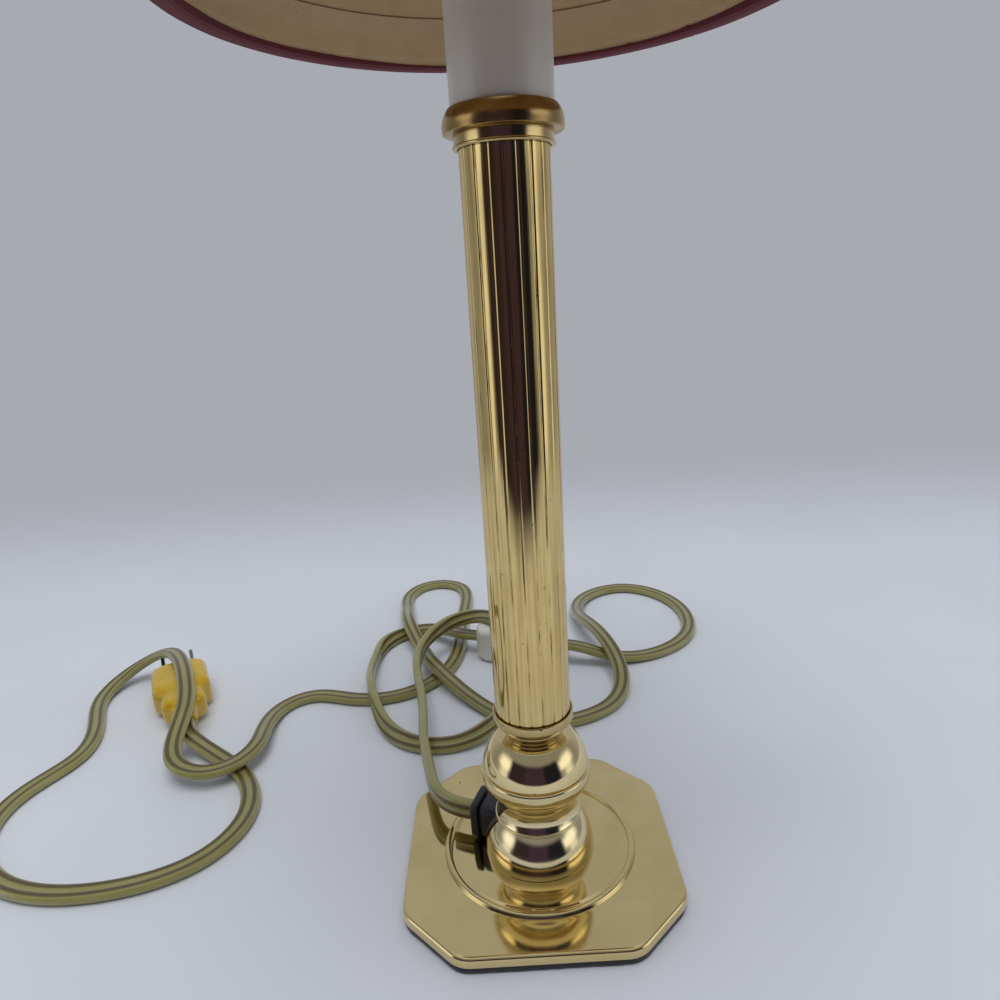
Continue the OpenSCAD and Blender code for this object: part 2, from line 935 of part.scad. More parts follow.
module shade_lining() {
    color("#b39f80")
        rotate_extrude($fn = 180)
            polygon([
                on_shade(cover_t, z_shade), on_shade(cover_t, z_shade_top), on_shade(inside_r, z_shade_top),
                on_shade(inside_r, z_shade + hem_h), on_shade(inside_r + hem_t, z_shade + hem_h),
                on_shade(inside_r + hem_t, z_shade)
            ]);
}

// Tape folded round the rim: outer leg, inner leg beyond the wire, and the fold between them
module binding(z_fold, z_outer, z_inner) {
    inner_leg = inside_r + hem_t + 2 * ring_gap + wire_d;
    z_end = z_outer > z_fold ? z_fold - tape_t : z_fold + tape_t;
    rotate_extrude($fn = 180)
        polygon([
            on_shade(-tape_t, z_outer), on_shade(-tape_t, z_end), on_shade(inner_leg + tape_t, z_end),
            on_shade(inner_leg + tape_t, z_inner), on_shade(inner_leg, z_inner), on_shade(inner_leg, z_fold),
            on_shade(0, z_fold), on_shade(0, z_outer)
        ]);
}

module shade_top_tape() {
    color("#541622")
        binding(z_shade_top, z_shade_top - tape_out, z_shade_top - tape_in);
}

module shade_bottom_tape() {
    color("#541622")
        binding(z_shade, z_shade + tape_out, z_shade + tape_in);
}

// Switch, lying on the table behind the column with its length along its own x

switch_at = [0, 131, 0];
switch_turn = -20;
z_split = switch_h / 2;
wheel_room = 0.4;
wheel_side_room = 0.3;
cord_slot = 5;
switch_screw_x = switch_len / 2 - 6;

module at_switch() {
    translate(switch_at)
        rotate(switch_turn)
            children();
}

module switch_cavity() {
    translate([0, 0, z_split - wheel_t / 2 - wheel_side_room])
        cylinder(d = wheel_d + 2 * wheel_room, h = wheel_t + 2 * wheel_side_room);
    for (side = [-1, 1]) {
        translate([side * (switch_len / 2 - cord_slot / 2 + eps), 0, z_split])
            cube([cord_slot, cord_w + 2 * slip, cord_t + 2 * slip], center = true);
        translate([side * switch_screw_x, 0, 1.5])
            cylinder(d = screw_d + 2 * run_slip, h = switch_h - 4);
    }
}

module switch_base() {
    color("#ecebe6")
        at_switch()
            difference() {
                rounded_slab(box_corners(switch_len, switch_w, switch_corner_r), switch_corner_r,
                             z_split, switch_edge_r, 0);
                switch_cavity();
                translate([0, 0, 2])
                    cylinder(d = axle_d, h = switch_h);
                contact_slots();
                for (side = [-1, 1])
                    translate([side * switch_screw_x, 0, -eps])
                        cylinder(d = screw_head_d + 2 * run_slip, h = 1.5 + 2 * eps);
            }
}

module switch_lid() {
    color("#f1f0ec")
        at_switch()
            difference() {
                translate([0, 0, z_split])
                    rounded_slab(box_corners(switch_len, switch_w, switch_corner_r), switch_corner_r,
                                 switch_h - z_split, 0, switch_edge_r);
                switch_cavity();
                cylinder(d = axle_d, h = switch_h - 2);
            }
}

module switch_wheel() {
    notch_d = 1.6;
    color("#e4e2da")
        at_switch()
            difference() {
                translate([0, 0, z_split - wheel_t / 2])
                    rotate_extrude()
                        edge_profile(wheel_d / 2, wheel_t, 0.6, 0.6);
                translate([0, 0, z_split - wheel_t / 2 - eps])
                    cylinder(d = axle_d + 2 * run_slip, h = wheel_t + 2 * eps);
                for (i = [0 : wheel_notches - 1])
                    rotate(i * 360 / wheel_notches)
                        translate([wheel_d / 2 + notch_d / 4, 0, z_split - wheel_t])
                            cylinder(d = notch_d, h = 2 * wheel_t);
            }
}

module switch_axle() {
    color("#a8a8a6")
        at_switch()
            translate([0, 0, 2])
                cylinder(d = axle_d, h = switch_h - 4);
}

contact_t_switch = 0.8;
contact_x = wheel_d / 2 + wheel_room + 0.6;

module contact_strip(grow) {
    for (side = [-1, 1])
        translate([side * (contact_x + contact_t_switch / 2) - contact_t_switch / 2 - grow, 2.2 - grow,
                   z_split - 5 - grow])
            cube([contact_t_switch + 2 * grow, 4 + 2 * grow, 5 + grow]);
}

module contact_slots() {
    contact_strip(run_slip);
}

module switch_contacts() {
    color("#c9a24a")
        at_switch()
            contact_strip(0);
}

module switch_screws() {
    color("#b8b8b4")
        at_switch()
            for (side = [-1, 1])
                translate([side * switch_screw_x, 0, 0.2]) {
                    cylinder(d = screw_head_d, h = 1.3);
                    cylinder(d = screw_d, h = z_split + 3);
                }
}

// Plug, lying on the table with its length along its own x, from the tail's end to the blades

plug_at = [-141.5, 79, 0];
plug_turn = 115;
z_plug = plug_t / 2;
plug_edge_r = 3;

module at_plug() {
    translate(plug_at)
        rotate(plug_turn)
            children();
}

module slab_between(x_low, x_high, w, t, r) {
    translate([(x_low + x_high) / 2, 0, z_plug - t / 2])
        rounded_slab(box_corners(x_high - x_low, w, r + 1), r + 1, t, r, r);
}

module plug_body() {
    grip_start = tail_len - 1;
    body_start = tail_len + grip_len - 2;
    body_end = tail_len + grip_len + plug_len;
    color("#b08a1e", 0.85)
        at_plug()
            difference() {
                union() {
                    translate([0, 0, z_plug])
                        rotate([0, 90, 0])
                            cylinder(r1 = cord_w * 0.62, r2 = grip_t / 2 - 0.2, h = tail_len + 2);
                    slab_between(grip_start, body_start + 4, grip_w, grip_t, plug_edge_r);
                    slab_between(body_start, body_end, plug_w, plug_t, plug_edge_r);
                }
                blades(body_end, 0.02);
            }
}

module blades(x_face, grow) {
    root = 6;
    for (side = [-1, 1])
        translate([x_face - root - grow, side * blade_gap / 2 - blade_t / 2 - grow,
                   z_plug - blade_w / 2 - grow])
            cube([blade_len + root + grow, blade_t + 2 * grow, blade_w + 2 * grow]);
}

module plug_blades() {
    body_end = tail_len + grip_len + plug_len;
    hole_d = 3;
    color("#6d6a62")
        at_plug()
            difference() {
                blades(body_end, 0);
                translate([body_end + blade_len - 5, -plug_w / 2, z_plug])
                    rotate([-90, 0, 0])
                        cylinder(d = hole_d, h = plug_w);
            }
}

// Cord: each point is x, y, z of the flat cord's middle and the angle at which it is turned on edge

TO_SWITCH = [
    [-19.4, 7, 13.2, 90], [-25.5, 9.3, 13.3, 90], [-31.5, 14.5, 13.4, 90], [-35, 24, 13.1, 90],
    [-37.5, 36, 12.3, 90], [-40, 50, 11, 90], [-42, 70, 9.8, 90], [-45, 90, 10, 90],
    [-48, 110, 11, 90], [-45, 128, 12.5, 90], [-36, 139, 15, 105], [-24, 140, 18, 130],
    [-12, 132, 20, 150], [-4, 117, 19, 140], [-1, 100, 14, 110], [-4, 83, 10, 75],
    [-12, 69, 6.2, 45], [-27, 59.5, 2.8, 27], [-44, 60, 2.7, 27], [-58, 72, 4.2, 65],
    [-66, 92, 8, 90], [-70, 113, 5.2, 90], [-70, 132, 3.8, 90], [-67, 147, 3.4, 125],
    [-57.5, 157, 2.9, 150], [-44, 155.5, 5, 165], [-28.2, 141.3, 8.5, 180], [-16, 136.8, 8.5, 180]
];
TO_PLUG = [
    [16, 125.2, 8.5, 0], [28.2, 120.7, 8.2, 0], [42, 118.5, 4.2, 0], [61, 122, 1.9, 0],
    [79, 135, 1.9, 0], [87, 156, 1.9, 0], [82, 183, 1.9, 0], [61, 200, 1.9, 0],
    [38, 189, 2.5, 0], [31, 162, 6, 0], [35, 140, 10, 0], [41, 117, 9.6, 0],
    [43, 98, 4.6, 0], [36, 82, 2, 0], [20, 72, 1.9, 0], [0, 71, 1.9, 0],
    [-21, 88, 2.8, 0], [-38, 111, 5.9, 0], [-49, 137, 4.8, 0], [-57, 160, 8, 0],
    [-60.5, 184, 4, 0], [-62, 202, 2, 0], [-57, 215.5, 1.9, 0], [-45, 221.5, 1.9, 0],
    [-33, 215.5, 1.9, 0], [-28.5, 202, 1.9, 0], [-29, 180, 1.9, 0], [-30, 152, 1.9, 0],
    [-34, 122, 1.9, 0], [-50, 101, 1.9, 0], [-73, 97, 1.9, 0], [-92, 102, 1.9, 0],
    [-105, 95, 1.9, 0], [-108.5, 77, 4, 0], [-107.5, 61, 5.8, 0], [-112.5, 50, 5.8, 0],
    [-123.5, 45.5, 5.9, 0], [-134.5, 50, 7.7, 0], [-139, 62, 10.6, 0], [-141, 79, 14.4, 0],
    [-147, 96, 17.4, 0], [-157, 115, 17.4, 0], [-171, 129, 13.5, 0], [-187, 127, 6, 0],
    [-193, 110, 2.1, 0], [-185, 88, 1.9, 0], [-181, 66, 1.9, 0], [-190, 46, 1.9, 0],
    [-191, 25, 1.9, 0], [-178, 5, 1.9, 0], [-157, -5, 1.9, 0], [-132, -5, 1.9, 0],
    [-110, 5, 1.9, 0], [-101, 25, 1.9, 0], [-107, 45, 2, 0], [-120, 58, 2.5, 0],
    [-137.7, 70.8, 6.6, 0], [-141.5, 79, 7.5, 0]
];
CORD_SIDES = 10;

function place(p) = [p[0], p[1], p[2]];
function unit(v) = v / norm(v);
function heading(route, i) = unit(place(route[min(i + 1, len(route) - 1)]) - place(route[max(i - 1, 0)]));
function level_side(t) = unit(cross(t, [0, 0, 1]));
function ring_point(route, i, k) =
    let (
        t = heading(route, i),
        side = level_side(t),
        top = cross(side, t),
        roll = route[i][3],
        a = 360 * k / CORD_SIDES,
        u = cord_w / 2 * cos(a),
        v = cord_t / 2 * sin(a)
    )
    place(route[i]) + side * (u * cos(roll) - v * sin(roll)) + top * (u * sin(roll) + v * cos(roll));

module flat_cord(route) {
    last = len(route) - 1;
    n = CORD_SIDES;
    polyhedron(
        points = [for (i = [0 : last]) for (k = [0 : n - 1]) ring_point(route, i, k)],
        faces = concat(
            [for (i = [0 : last - 1]) for (k = [0 : n - 1])
                [i * n + k, i * n + (k + 1) % n, (i + 1) * n + k]],
            [for (i = [0 : last - 1]) for (k = [0 : n - 1])
                [i * n + (k + 1) % n, (i + 1) * n + (k + 1) % n, (i + 1) * n + k]],
            [for (k = [1 : n - 2]) [0, k + 1, k]],
            [for (k = [1 : n - 2]) [last * n, last * n + k, last * n + k + 1]]
        )
    );
}

module cord_to_switch() {
    color("#6f6434")
        flat_cord(TO_SWITCH);
}

module cord_to_plug() {
    color("#6f6434")
        flat_cord(TO_PLUG);
}

felt_pad();
base_plate();
base_washer();
base_nut();
foot();
cord_bushing();
ball();
column_cup();
lamp_pipe();
column();
collar_ring();
candle_ring();
candle_sleeve();
ring_washer();
ring_nut();
socket_bracket();
bracket_nut();
socket_body();
socket_shell();
socket_contact();
socket_screws();
inner_leads();
bulb_glass();
bulb_cap();
bulb_contact();
bulb_filament();
clip_loops();
clip_arms();
shade_top_ring();
shade_bottom_ring();
shade_cover();
shade_lining();
shade_top_tape();
shade_bottom_tape();
switch_base();
switch_lid();
switch_wheel();
switch_axle();
switch_contacts();
switch_screws();
cord_to_switch();
cord_to_plug();
plug_body();
plug_blades();
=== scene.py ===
"""Candlestick lamp: brass stick on a canted base, candle sleeve, cloth shade, cord with switch and plug."""
import math
import random

import bmesh
import bpy
import numpy as np
from mathutils import Matrix, Vector


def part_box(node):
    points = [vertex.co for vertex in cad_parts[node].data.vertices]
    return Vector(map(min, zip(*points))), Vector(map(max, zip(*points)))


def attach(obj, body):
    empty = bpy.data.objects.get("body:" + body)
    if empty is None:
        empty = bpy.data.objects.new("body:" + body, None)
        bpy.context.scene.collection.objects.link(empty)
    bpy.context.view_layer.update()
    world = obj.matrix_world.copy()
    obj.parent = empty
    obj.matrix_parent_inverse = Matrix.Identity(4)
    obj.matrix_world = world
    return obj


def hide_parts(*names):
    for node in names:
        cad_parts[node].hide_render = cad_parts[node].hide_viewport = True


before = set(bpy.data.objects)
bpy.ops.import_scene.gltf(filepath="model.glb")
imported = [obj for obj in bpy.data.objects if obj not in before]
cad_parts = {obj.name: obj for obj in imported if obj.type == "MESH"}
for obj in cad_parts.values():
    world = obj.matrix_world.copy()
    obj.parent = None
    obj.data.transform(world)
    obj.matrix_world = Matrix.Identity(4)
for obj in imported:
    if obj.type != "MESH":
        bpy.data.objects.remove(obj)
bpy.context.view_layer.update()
MM = 0.001

# Camera
# A wide lens close to the lamp, a little above the middle of the stick, tilted down and slightly rolled,
# fitted to the plate's corners, the column's edges and the shade's rim.
eye = Vector((-6.0, -193.8, 176.4)) * MM
pitch = math.radians(16.63)
roll = math.radians(-3.416)
forward = Vector((0, math.cos(pitch), -math.sin(pitch)))
level_right = Vector((1, 0, 0))
level_up = level_right.cross(forward)
right = math.cos(roll) * level_right + math.sin(roll) * level_up
up = -math.sin(roll) * level_right + math.cos(roll) * level_up
lens = bpy.data.cameras.new("camera")
lens.sensor_width = 36
lens.lens = 26.82
lens.clip_start = 0.01
camera = bpy.data.objects.new("camera", lens)
camera.matrix_world = Matrix.Translation(eye) @ Matrix((right, up, -forward)).transposed().to_4x4()
bpy.context.scene.collection.objects.link(camera)
bpy.context.scene.camera = camera

# Felt pad
# Dark wool felt, die-cut to the plate's outline a little inside its edge and glued under it.
# It is the soft dark line that shows below the brass.


def linear(code):
    """An sRGB hex colour as linear RGBA."""
    shares = [int(code[i:i + 2], 16) / 255 for i in (1, 3, 5)]
    return [c / 12.92 if c <= 0.04045 else ((c + 0.055) / 1.055) ** 2.4 for c in shares] + [1.0]


def add(tree, kind, inputs=None, **settings):
    """Adds a shader node of a kind with its settings, its links and its plain values."""
    made = tree.nodes.new("ShaderNode" + kind)
    for name, value in settings.items():
        setattr(made, name, value)
    for socket, value in (inputs or {}).items():
        if isinstance(value, bpy.types.NodeSocket):
            tree.links.new(value, made.inputs[socket])
        else:
            made.inputs[socket].default_value = value
    return made


def new_finish(name):
    """An empty material and its node tree."""
    finish = bpy.data.materials.new(name)
    finish.use_nodes = True
    finish.node_tree.nodes.clear()
    return finish, finish.node_tree


def close_finish(tree, inputs):
    """Ends a material in one Principled shader with these inputs."""
    shader = add(tree, "BsdfPrincipled", inputs)
    add(tree, "OutputMaterial", {"Surface": shader.outputs["BSDF"]})


def per_mm(size):
    """Scale of a noise or cell pattern with features this many millimetres apart, in metre coordinates."""
    return 1 / (size * MM)


def mottled(name, patch, detail, first, second):
    """A new material, its place and a drift between two tones in patches this many millimetres apart."""
    finish, tree = new_finish(name)
    place = add(tree, "TexCoord").outputs["Object"]
    drift = add(tree, "TexNoise", {"Vector": place, "Scale": per_mm(patch), "Detail": detail}).outputs["Fac"]
    tone = add(tree, "Mix", {0: drift, 6: linear(first), 7: linear(second)}, data_type="RGBA").outputs[2]
    return finish, tree, place, drift, tone


def piece(name, points, faces, finish, body, slot, *nodes, sharp=35, marks=None):
    """A mesh given in mm, smooth but for its sharp edges, that rides on a body and stands for CAD nodes."""
    mesh = bpy.data.meshes.new(name)
    mesh.from_pydata([Vector(p) * MM for p in points], [], faces)
    for mark, values in (marks or {}).items():
        mesh.attributes.new(mark, "FLOAT", "POINT").data.foreach_set("value", values)
    work = bmesh.new()
    work.from_mesh(mesh)
    bmesh.ops.recalc_face_normals(work, faces=work.faces)
    work.to_mesh(mesh)
    work.free()
    for face in mesh.polygons:
        face.use_smooth = True
    mesh.set_sharp_from_angle(angle=math.radians(sharp))
    mesh.materials.append(finish)
    made = bpy.data.objects.new(name, mesh)
    bpy.context.scene.collection.objects.link(made)
    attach(made, body)
    if nodes:
        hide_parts(*nodes)
    return made


def skin(rings):
    """Points and faces of closed rings of like count, joined one to the next and the last to the first."""
    count = len(rings[0])
    points = [p for ring in rings for p in ring]
    faces = []
    for i in range(len(rings)):
        j = (i + 1) % len(rings)
        for k in range(count):
            m = (k + 1) % count
            faces.append((i * count + k, i * count + m, j * count + m, j * count + k))
    return points, faces


plate_lo, plate_hi = (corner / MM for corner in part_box("base_plate"))
plate_half = plate_hi.x
plate_cut = 16.5
plate_corner_r = 9.0


def canted_outline(inset, z):
    """Outline of the canted square inside the plate's edge by inset, with rounded corners."""
    corner_steps = 8
    side_steps = 18
    cant_reach = (2 * plate_half - plate_cut) / math.sqrt(2)
    reach = [plate_half, cant_reach] * 4
    arcs = []
    for k in range(8):
        a0 = math.radians(45 * k)
        a1 = math.radians(45 * (k + 1))
        det = math.sin(a1 - a0)
        x = (reach[k] * math.sin(a1) - reach[(k + 1) % 8] * math.sin(a0)) / det
        y = (reach[(k + 1) % 8] * math.cos(a0) - reach[k] * math.cos(a1)) / det
        middle = (a0 + a1) / 2
        back = plate_corner_r / math.cos(math.radians(22.5))
        cx = x - back * math.cos(middle)
        cy = y - back * math.sin(middle)
        r = plate_corner_r - inset
        turns = [a0 + (a1 - a0) * i / corner_steps for i in range(corner_steps + 1)]
        arcs.append([(cx + r * math.cos(a), cy + r * math.sin(a)) for a in turns])
    outline = []
    for k in range(8):
        outline += arcs[k]
        (x0, y0), (x1, y1) = arcs[k][-1], arcs[(k + 1) % 8][0]
        for i in range(1, side_steps):
            share = i / side_steps
            outline.append((x0 + (x1 - x0) * share, y0 + (y1 - y0) * share))
    return [(x, y, z) for x, y in outline]


# Pressed wool: no gloss at all, and short fibres that lie every way
felt, tree, _, fibres, tone = mottled("pressed_wool_felt", 0.5, 4.0, "#121116", "#2D2B32")
nap = add(tree, "Bump", {"Height": fibres, "Strength": 0.8, "Distance": 0.3 * MM}).outputs["Normal"]
close_finish(tree, {"Base Color": tone, "Roughness": 0.95, "Sheen Weight": 0.3, "Normal": nap})

felt_inset = 0.35
felt_top = plate_lo.z
felt_fray = 0.07
felt_inner_r = 14
# Each ring's inset and height. None stands for the round hole in the middle
felt_rings = [(None, 0.02), (felt_inset + 0.5, 0.02), (felt_inset + 0.1, 0.4),
              (felt_inset, 0.9), (felt_inset + 0.05, felt_top - 0.05), (None, felt_top - 0.05)]
draw = random.Random(3)
rings = []
for inset, z in felt_rings:
    if inset is None:
        rim = canted_outline(felt_inset, z)
        rings.append([(p.x, p.y, z) for p in (Vector((x, y)).normalized() * felt_inner_r for x, y, _ in rim)])
    else:
        rings.append([(x + draw.uniform(-felt_fray, felt_fray), y + draw.uniform(-felt_fray, felt_fray), z)
                      for x, y, _ in canted_outline(inset, z)])
piece("felt_pad_soft", *skin(rings), felt, "lamp", "felt", "felt_pad", sharp=60)

# Base plate
# Cast brass, canted at the corners and polished all over, with a raised round step in the middle and a
# fine half-round bead that runs round the step. The foot stands on it and the lamp pipe's nut pulls it up.


def arc(r, z, radius, start, end, steps):
    """Points (r, z) on an arc round (r, z), from one angle to another in degrees."""
    turns = [math.radians(start + (end - start) * i / steps) for i in range(steps + 1)]
    return [(r + radius * math.cos(a), z + radius * math.sin(a)) for a in turns]


def brass_layers(name, tone, deep, rough):
    """Buffed brass under old lacquer: a slightly wavy mirror, with fine wipe marks and a few dark spots."""
    finish, tree = new_finish(name)
    place = add(tree, "TexCoord").outputs["Object"]
    cloud = add(tree, "TexNoise", {"Vector": place, "Scale": per_mm(14), "Detail": 4.0}).outputs["Fac"]
    cloud = add(tree, "MapRange", {"Value": cloud, "From Min": 0.35, "From Max": 0.75}).outputs[0]
    colour = add(tree, "Mix", {0: cloud, 6: linear(tone), 7: linear(deep)}, data_type="RGBA").outputs[2]
    grain = add(tree, "TexNoise", {"Vector": place, "Scale": per_mm(1.6), "Detail": 2.0}).outputs["Fac"]
    spots = add(tree, "MapRange", {"Value": grain, "From Min": 0.745, "From Max": 0.80}).outputs[0]
    colour = add(tree, "Mix", {0: spots, 6: colour, 7: linear("#3A2712")}, data_type="RGBA").outputs[2]
    wipe = add(tree, "TexNoise", {"Vector": place, "Scale": per_mm(5), "Detail": 6.0}).outputs["Fac"]
    gloss = add(tree, "MapRange", {"Value": wipe, "To Min": rough * 0.5, "To Max": rough * 1.7}).outputs[0]
    gloss = add(tree, "Math", {0: gloss, 1: spots}, operation="MAXIMUM").outputs[0]
    swell = add(tree, "TexNoise", {"Vector": place, "Scale": per_mm(11), "Detail": 1.0}).outputs["Fac"]
    wave = add(tree, "Bump", {"Height": swell, "Strength": 0.5, "Distance": 0.05 * MM})
    return finish, tree, place, {"Base Color": colour, "Metallic": 1.0, "Roughness": gloss,
                                 "Normal": wave.outputs["Normal"]}


def polished_brass(name, tone, deep, rough):
    """The buffed brass as it is, with no marks of its own."""
    finish, tree, _, sockets = brass_layers(name, tone, deep, rough)
    close_finish(tree, sockets)
    return finish


# Cast brass, buffed to a mirror, with a few hair scratches from dusting that lie in three directions
hair_w = 0.35
hair_l = 9
plate_brass, tree, place, sockets = brass_layers("polished_cast_brass", "#EAD69E", "#DFC88E", 0.07)
scratched = 0.0
for lean in (25, 70, -40):
    drawn = add(tree, "Mapping", {"Vector": place, "Rotation": (0, 0, math.radians(lean)),
                                  "Scale": (per_mm(hair_w), per_mm(hair_l), per_mm(hair_l))}).outputs[0]
    hair = add(tree, "TexNoise", {"Vector": drawn, "Scale": 1.0, "Detail": 1.0}).outputs["Fac"]
    hair = add(tree, "MapRange",
               {"Value": hair, "From Min": 0.81, "From Max": 0.87, "To Max": 0.5}).outputs[0]
    scratched = add(tree, "Math", {0: scratched, 1: hair}, operation="MAXIMUM").outputs[0]
sockets["Base Color"] = add(tree, "Mix", {0: scratched, 6: sockets["Base Color"], 7: linear("#6B5430")},
                            data_type="RGBA").outputs[2]
close_finish(tree, sockets)
edge_r = 1.2
plateau_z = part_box("foot")[0].z / MM
plate_top = 5.6
plate_bore = 14
step_bead_at = 28.5
step_bead_r = 1.1
plate_rings = [canted_outline(1.4, plate_lo.z), canted_outline(0.4, plate_lo.z),
               canted_outline(0.1, plate_lo.z + 0.2), canted_outline(0, plate_lo.z + 0.5),
               canted_outline(0, plate_top - edge_r - 0.1)]
for inset, z in ((edge_r - r, z) for r, z in arc(0, plate_top - edge_r, edge_r, 0, 90, 8)):
    plate_rings.append(canted_outline(inset, z))
plate_rings += [canted_outline(edge_r + 0.15, plate_top), canted_outline(edge_r + 0.6, plate_top)]
directions = [Vector((x, y)).normalized() for x, y, _ in canted_outline(0, 0)]
step_profile = [(31.2, plate_top), (30.2, plate_top), (29.75, plate_top + 0.02)]
step_profile += arc(step_bead_at, plate_top + 0.1, step_bead_r, 4, 168, 18)
step_profile += [(27.25, plate_top + 0.3), (26.95, plate_top + 0.36), (26.6, plateau_z - 0.06),
                 (26.2, plateau_z)]
step_profile += [(17.6, plateau_z), (plate_bore, plateau_z), (plate_bore, plate_lo.z)]
for r, z in step_profile:
    plate_rings.append([(d.x * r, d.y * r, z) for d in directions])
piece("base_plate_polished", *skin(plate_rings), plate_brass, "lamp", "brass", "base_plate", sharp=40)

# Foot
# Turned brass: half a ball that sits on the step, a thin fillet ring and a hollow-sided neck,
# drilled at the back left for the cord bushing.


def turned(profile, sides=224):
    """Points and faces of a closed profile of (r, z) points turned round the lamp's axis."""
    turns = [2 * math.pi * k / sides for k in range(sides)]
    return skin([[(r * math.cos(a), r * math.sin(a), z) for a in turns] for r, z in profile])


def dome(r_low, r_high, z_low, height, steps):
    """Points up a ball's side, from one radius to a smaller one, with the ball's centre on the axis."""
    drop = (r_high ** 2 + height ** 2 - r_low ** 2) / (2 * height)
    radius = math.hypot(r_low, drop)
    start = math.degrees(math.asin(-drop / radius))
    end = math.degrees(math.asin((height - drop) / radius))
    return arc(0, z_low + drop, radius, start, end, steps)


def hollow(r_end, r_waist, z_low, height, steps):
    """Points up a hollow side that is r_end wide at both ends and r_waist in the middle."""
    dip = r_end - r_waist
    radius = ((height / 2) ** 2 + dip ** 2) / (2 * dip)
    half = math.degrees(math.asin(height / 2 / radius))
    return arc(r_waist + radius, z_low + height / 2, radius, 180 + half, 180 - half, steps)


pipe_room = 5.2
foot_z = plateau_z
foot_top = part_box("foot")[1].z / MM
fillet_z = foot_z + 11.6
neck_z = fillet_z + 1.0
foot_profile = [(pipe_room, foot_z), (16.7, foot_z), (16.93, foot_z + 0.05)]
foot_profile += dome(17.0, 12.5, foot_z + 0.15, 11.4, 36)
foot_profile += [(12.55, fillet_z), (12.75, fillet_z + 0.04)]
foot_profile += arc(12.75, fillet_z + 0.5, 0.45, -80, 80, 8)
foot_profile += [(12.75, neck_z - 0.03), (12.68, neck_z + 0.02)]
foot_profile += hollow(12.7, 11.4, neck_z + 0.1, foot_top - neck_z - 0.15, 24)
foot_profile += [(12.7, foot_top), (pipe_room, foot_top)]
# Paler and a little hazier brass than the ball
foot_brass = polished_brass("pale_hazy_turned_brass", "#EEDEB0", "#E1CE9C", 0.10)
piece("foot_turned", *turned(foot_profile), foot_brass, "lamp", "brass", "foot")

# Cord bushing
# Black moulded nylon strain relief, pressed into the foot's side hole. A square-shouldered flange stands
# outside, a groove parts it from the collar that seats on the brass, and the flat cord comes out on edge.

# Nylon as it came from the mould: near black and half dull, with fine pits
nylon, tree, _, mottle, tone = mottled("moulded_black_nylon", 0.6, 3.0, "#101014", "#24242B")
gloss = add(tree, "MapRange", {"Value": mottle, "To Min": 0.28, "To Max": 0.5}).outputs[0]
pits = add(tree, "Bump", {"Height": mottle, "Strength": 0.3, "Distance": 0.05 * MM}).outputs["Normal"]
close_finish(tree, {"Base Color": tone, "Roughness": gloss, "IOR": 1.53, "Normal": pits})


def rounded_ring(half_y, half_z, squareness, count):
    """A closed ring of (y, z) points between an ellipse (2) and a rectangle (large)."""
    ring = []
    for k in range(count):
        a = 2 * math.pi * (k + 0.5) / count
        c, s = math.cos(a), math.sin(a)
        ring.append((half_y * math.copysign(abs(c) ** (2 / squareness), c),
                     half_z * math.copysign(abs(s) ** (2 / squareness), s)))
    return ring


bushing_lo, bushing_hi = (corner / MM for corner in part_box("cord_bushing"))
bushing_z = (bushing_lo.z + bushing_hi.z) / 2
bushing_reach = 20.6
bushing_turn = Matrix.Rotation(math.radians(-20), 3, "Z")
bushing_sides = 56
# Each step is a depth behind the flange's face, half a width, half a height and a squareness
bushing_steps = [(14.2, 4.1, 4.1, 2), (10.0, 4.1, 4.1, 2), (9.9, 5.4, 5.4, 5), (3.9, 5.6, 5.6, 6),
                 (3.6, 5.5, 5.5, 6), (3.4, 5.2, 5.2, 6), (3.4, 4.6, 4.6, 4), (2.6, 4.6, 4.6, 4),
                 (2.5, 5.5, 5.5, 6), (2.3, 5.85, 5.85, 7), (2.0, 6.0, 6.0, 7), (0.6, 6.0, 6.0, 7),
                 (0.25, 5.85, 5.85, 7), (0.06, 5.55, 5.55, 7), (0.0, 5.1, 5.1, 7), (0.0, 2.5, 3.95, 2.6),
                 (0.15, 2.2, 3.7, 2.6), (0.6, 2.05, 3.6, 2.6), (14.2, 2.05, 3.6, 2.6)]
rings = [[bushing_turn @ Vector((x - bushing_reach, y, bushing_z + z))
          for y, z in rounded_ring(half_y, half_z, square, bushing_sides)]
         for x, half_y, half_z, square in bushing_steps]
piece("cord_bushing_moulded", *skin(rings), nylon, "lamp", "black_plastic", "cord_bushing", sharp=30)

# Ball
# Turned brass in one piece: a bead that curves in under, a fine groove, and a ball that is flattened
# where the cup stands.
ball_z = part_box("ball")[0].z / MM
ball_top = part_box("ball")[1].z / MM
bead_out_r = 16.45
bead_low_r = 5.8
bead_top_r = 0.9
bead_z = ball_z + 6.0
bead_top = ball_z + 8.2
dome_z = ball_z + 8.8
ball_profile = [(pipe_room, ball_z), (13.05, ball_z), (13.2, ball_z + 0.1), (13.2, ball_z + 0.6)]
ball_profile += arc(bead_out_r - bead_low_r, bead_z, bead_low_r, -62, 0, 30)
ball_profile += arc(bead_out_r - bead_top_r, bead_top - bead_top_r, bead_top_r, 0, 84, 10)
ball_profile += [(15.25, bead_top), (15.2, dome_z - 0.1), (15.75, dome_z)]
ball_profile += dome(15.9, 11.1, dome_z + 0.1, ball_top - dome_z - 0.15, 32)
ball_profile += [(10.95, ball_top), (pipe_room, ball_top)]
# Turned brass, buffed to a mirror and still lacquered
ball_brass = polished_brass("polished_turned_brass", "#EDDAA6", "#E0CB94", 0.06)
piece("ball_turned", *turned(ball_profile), ball_brass, "lamp", "brass", "ball")

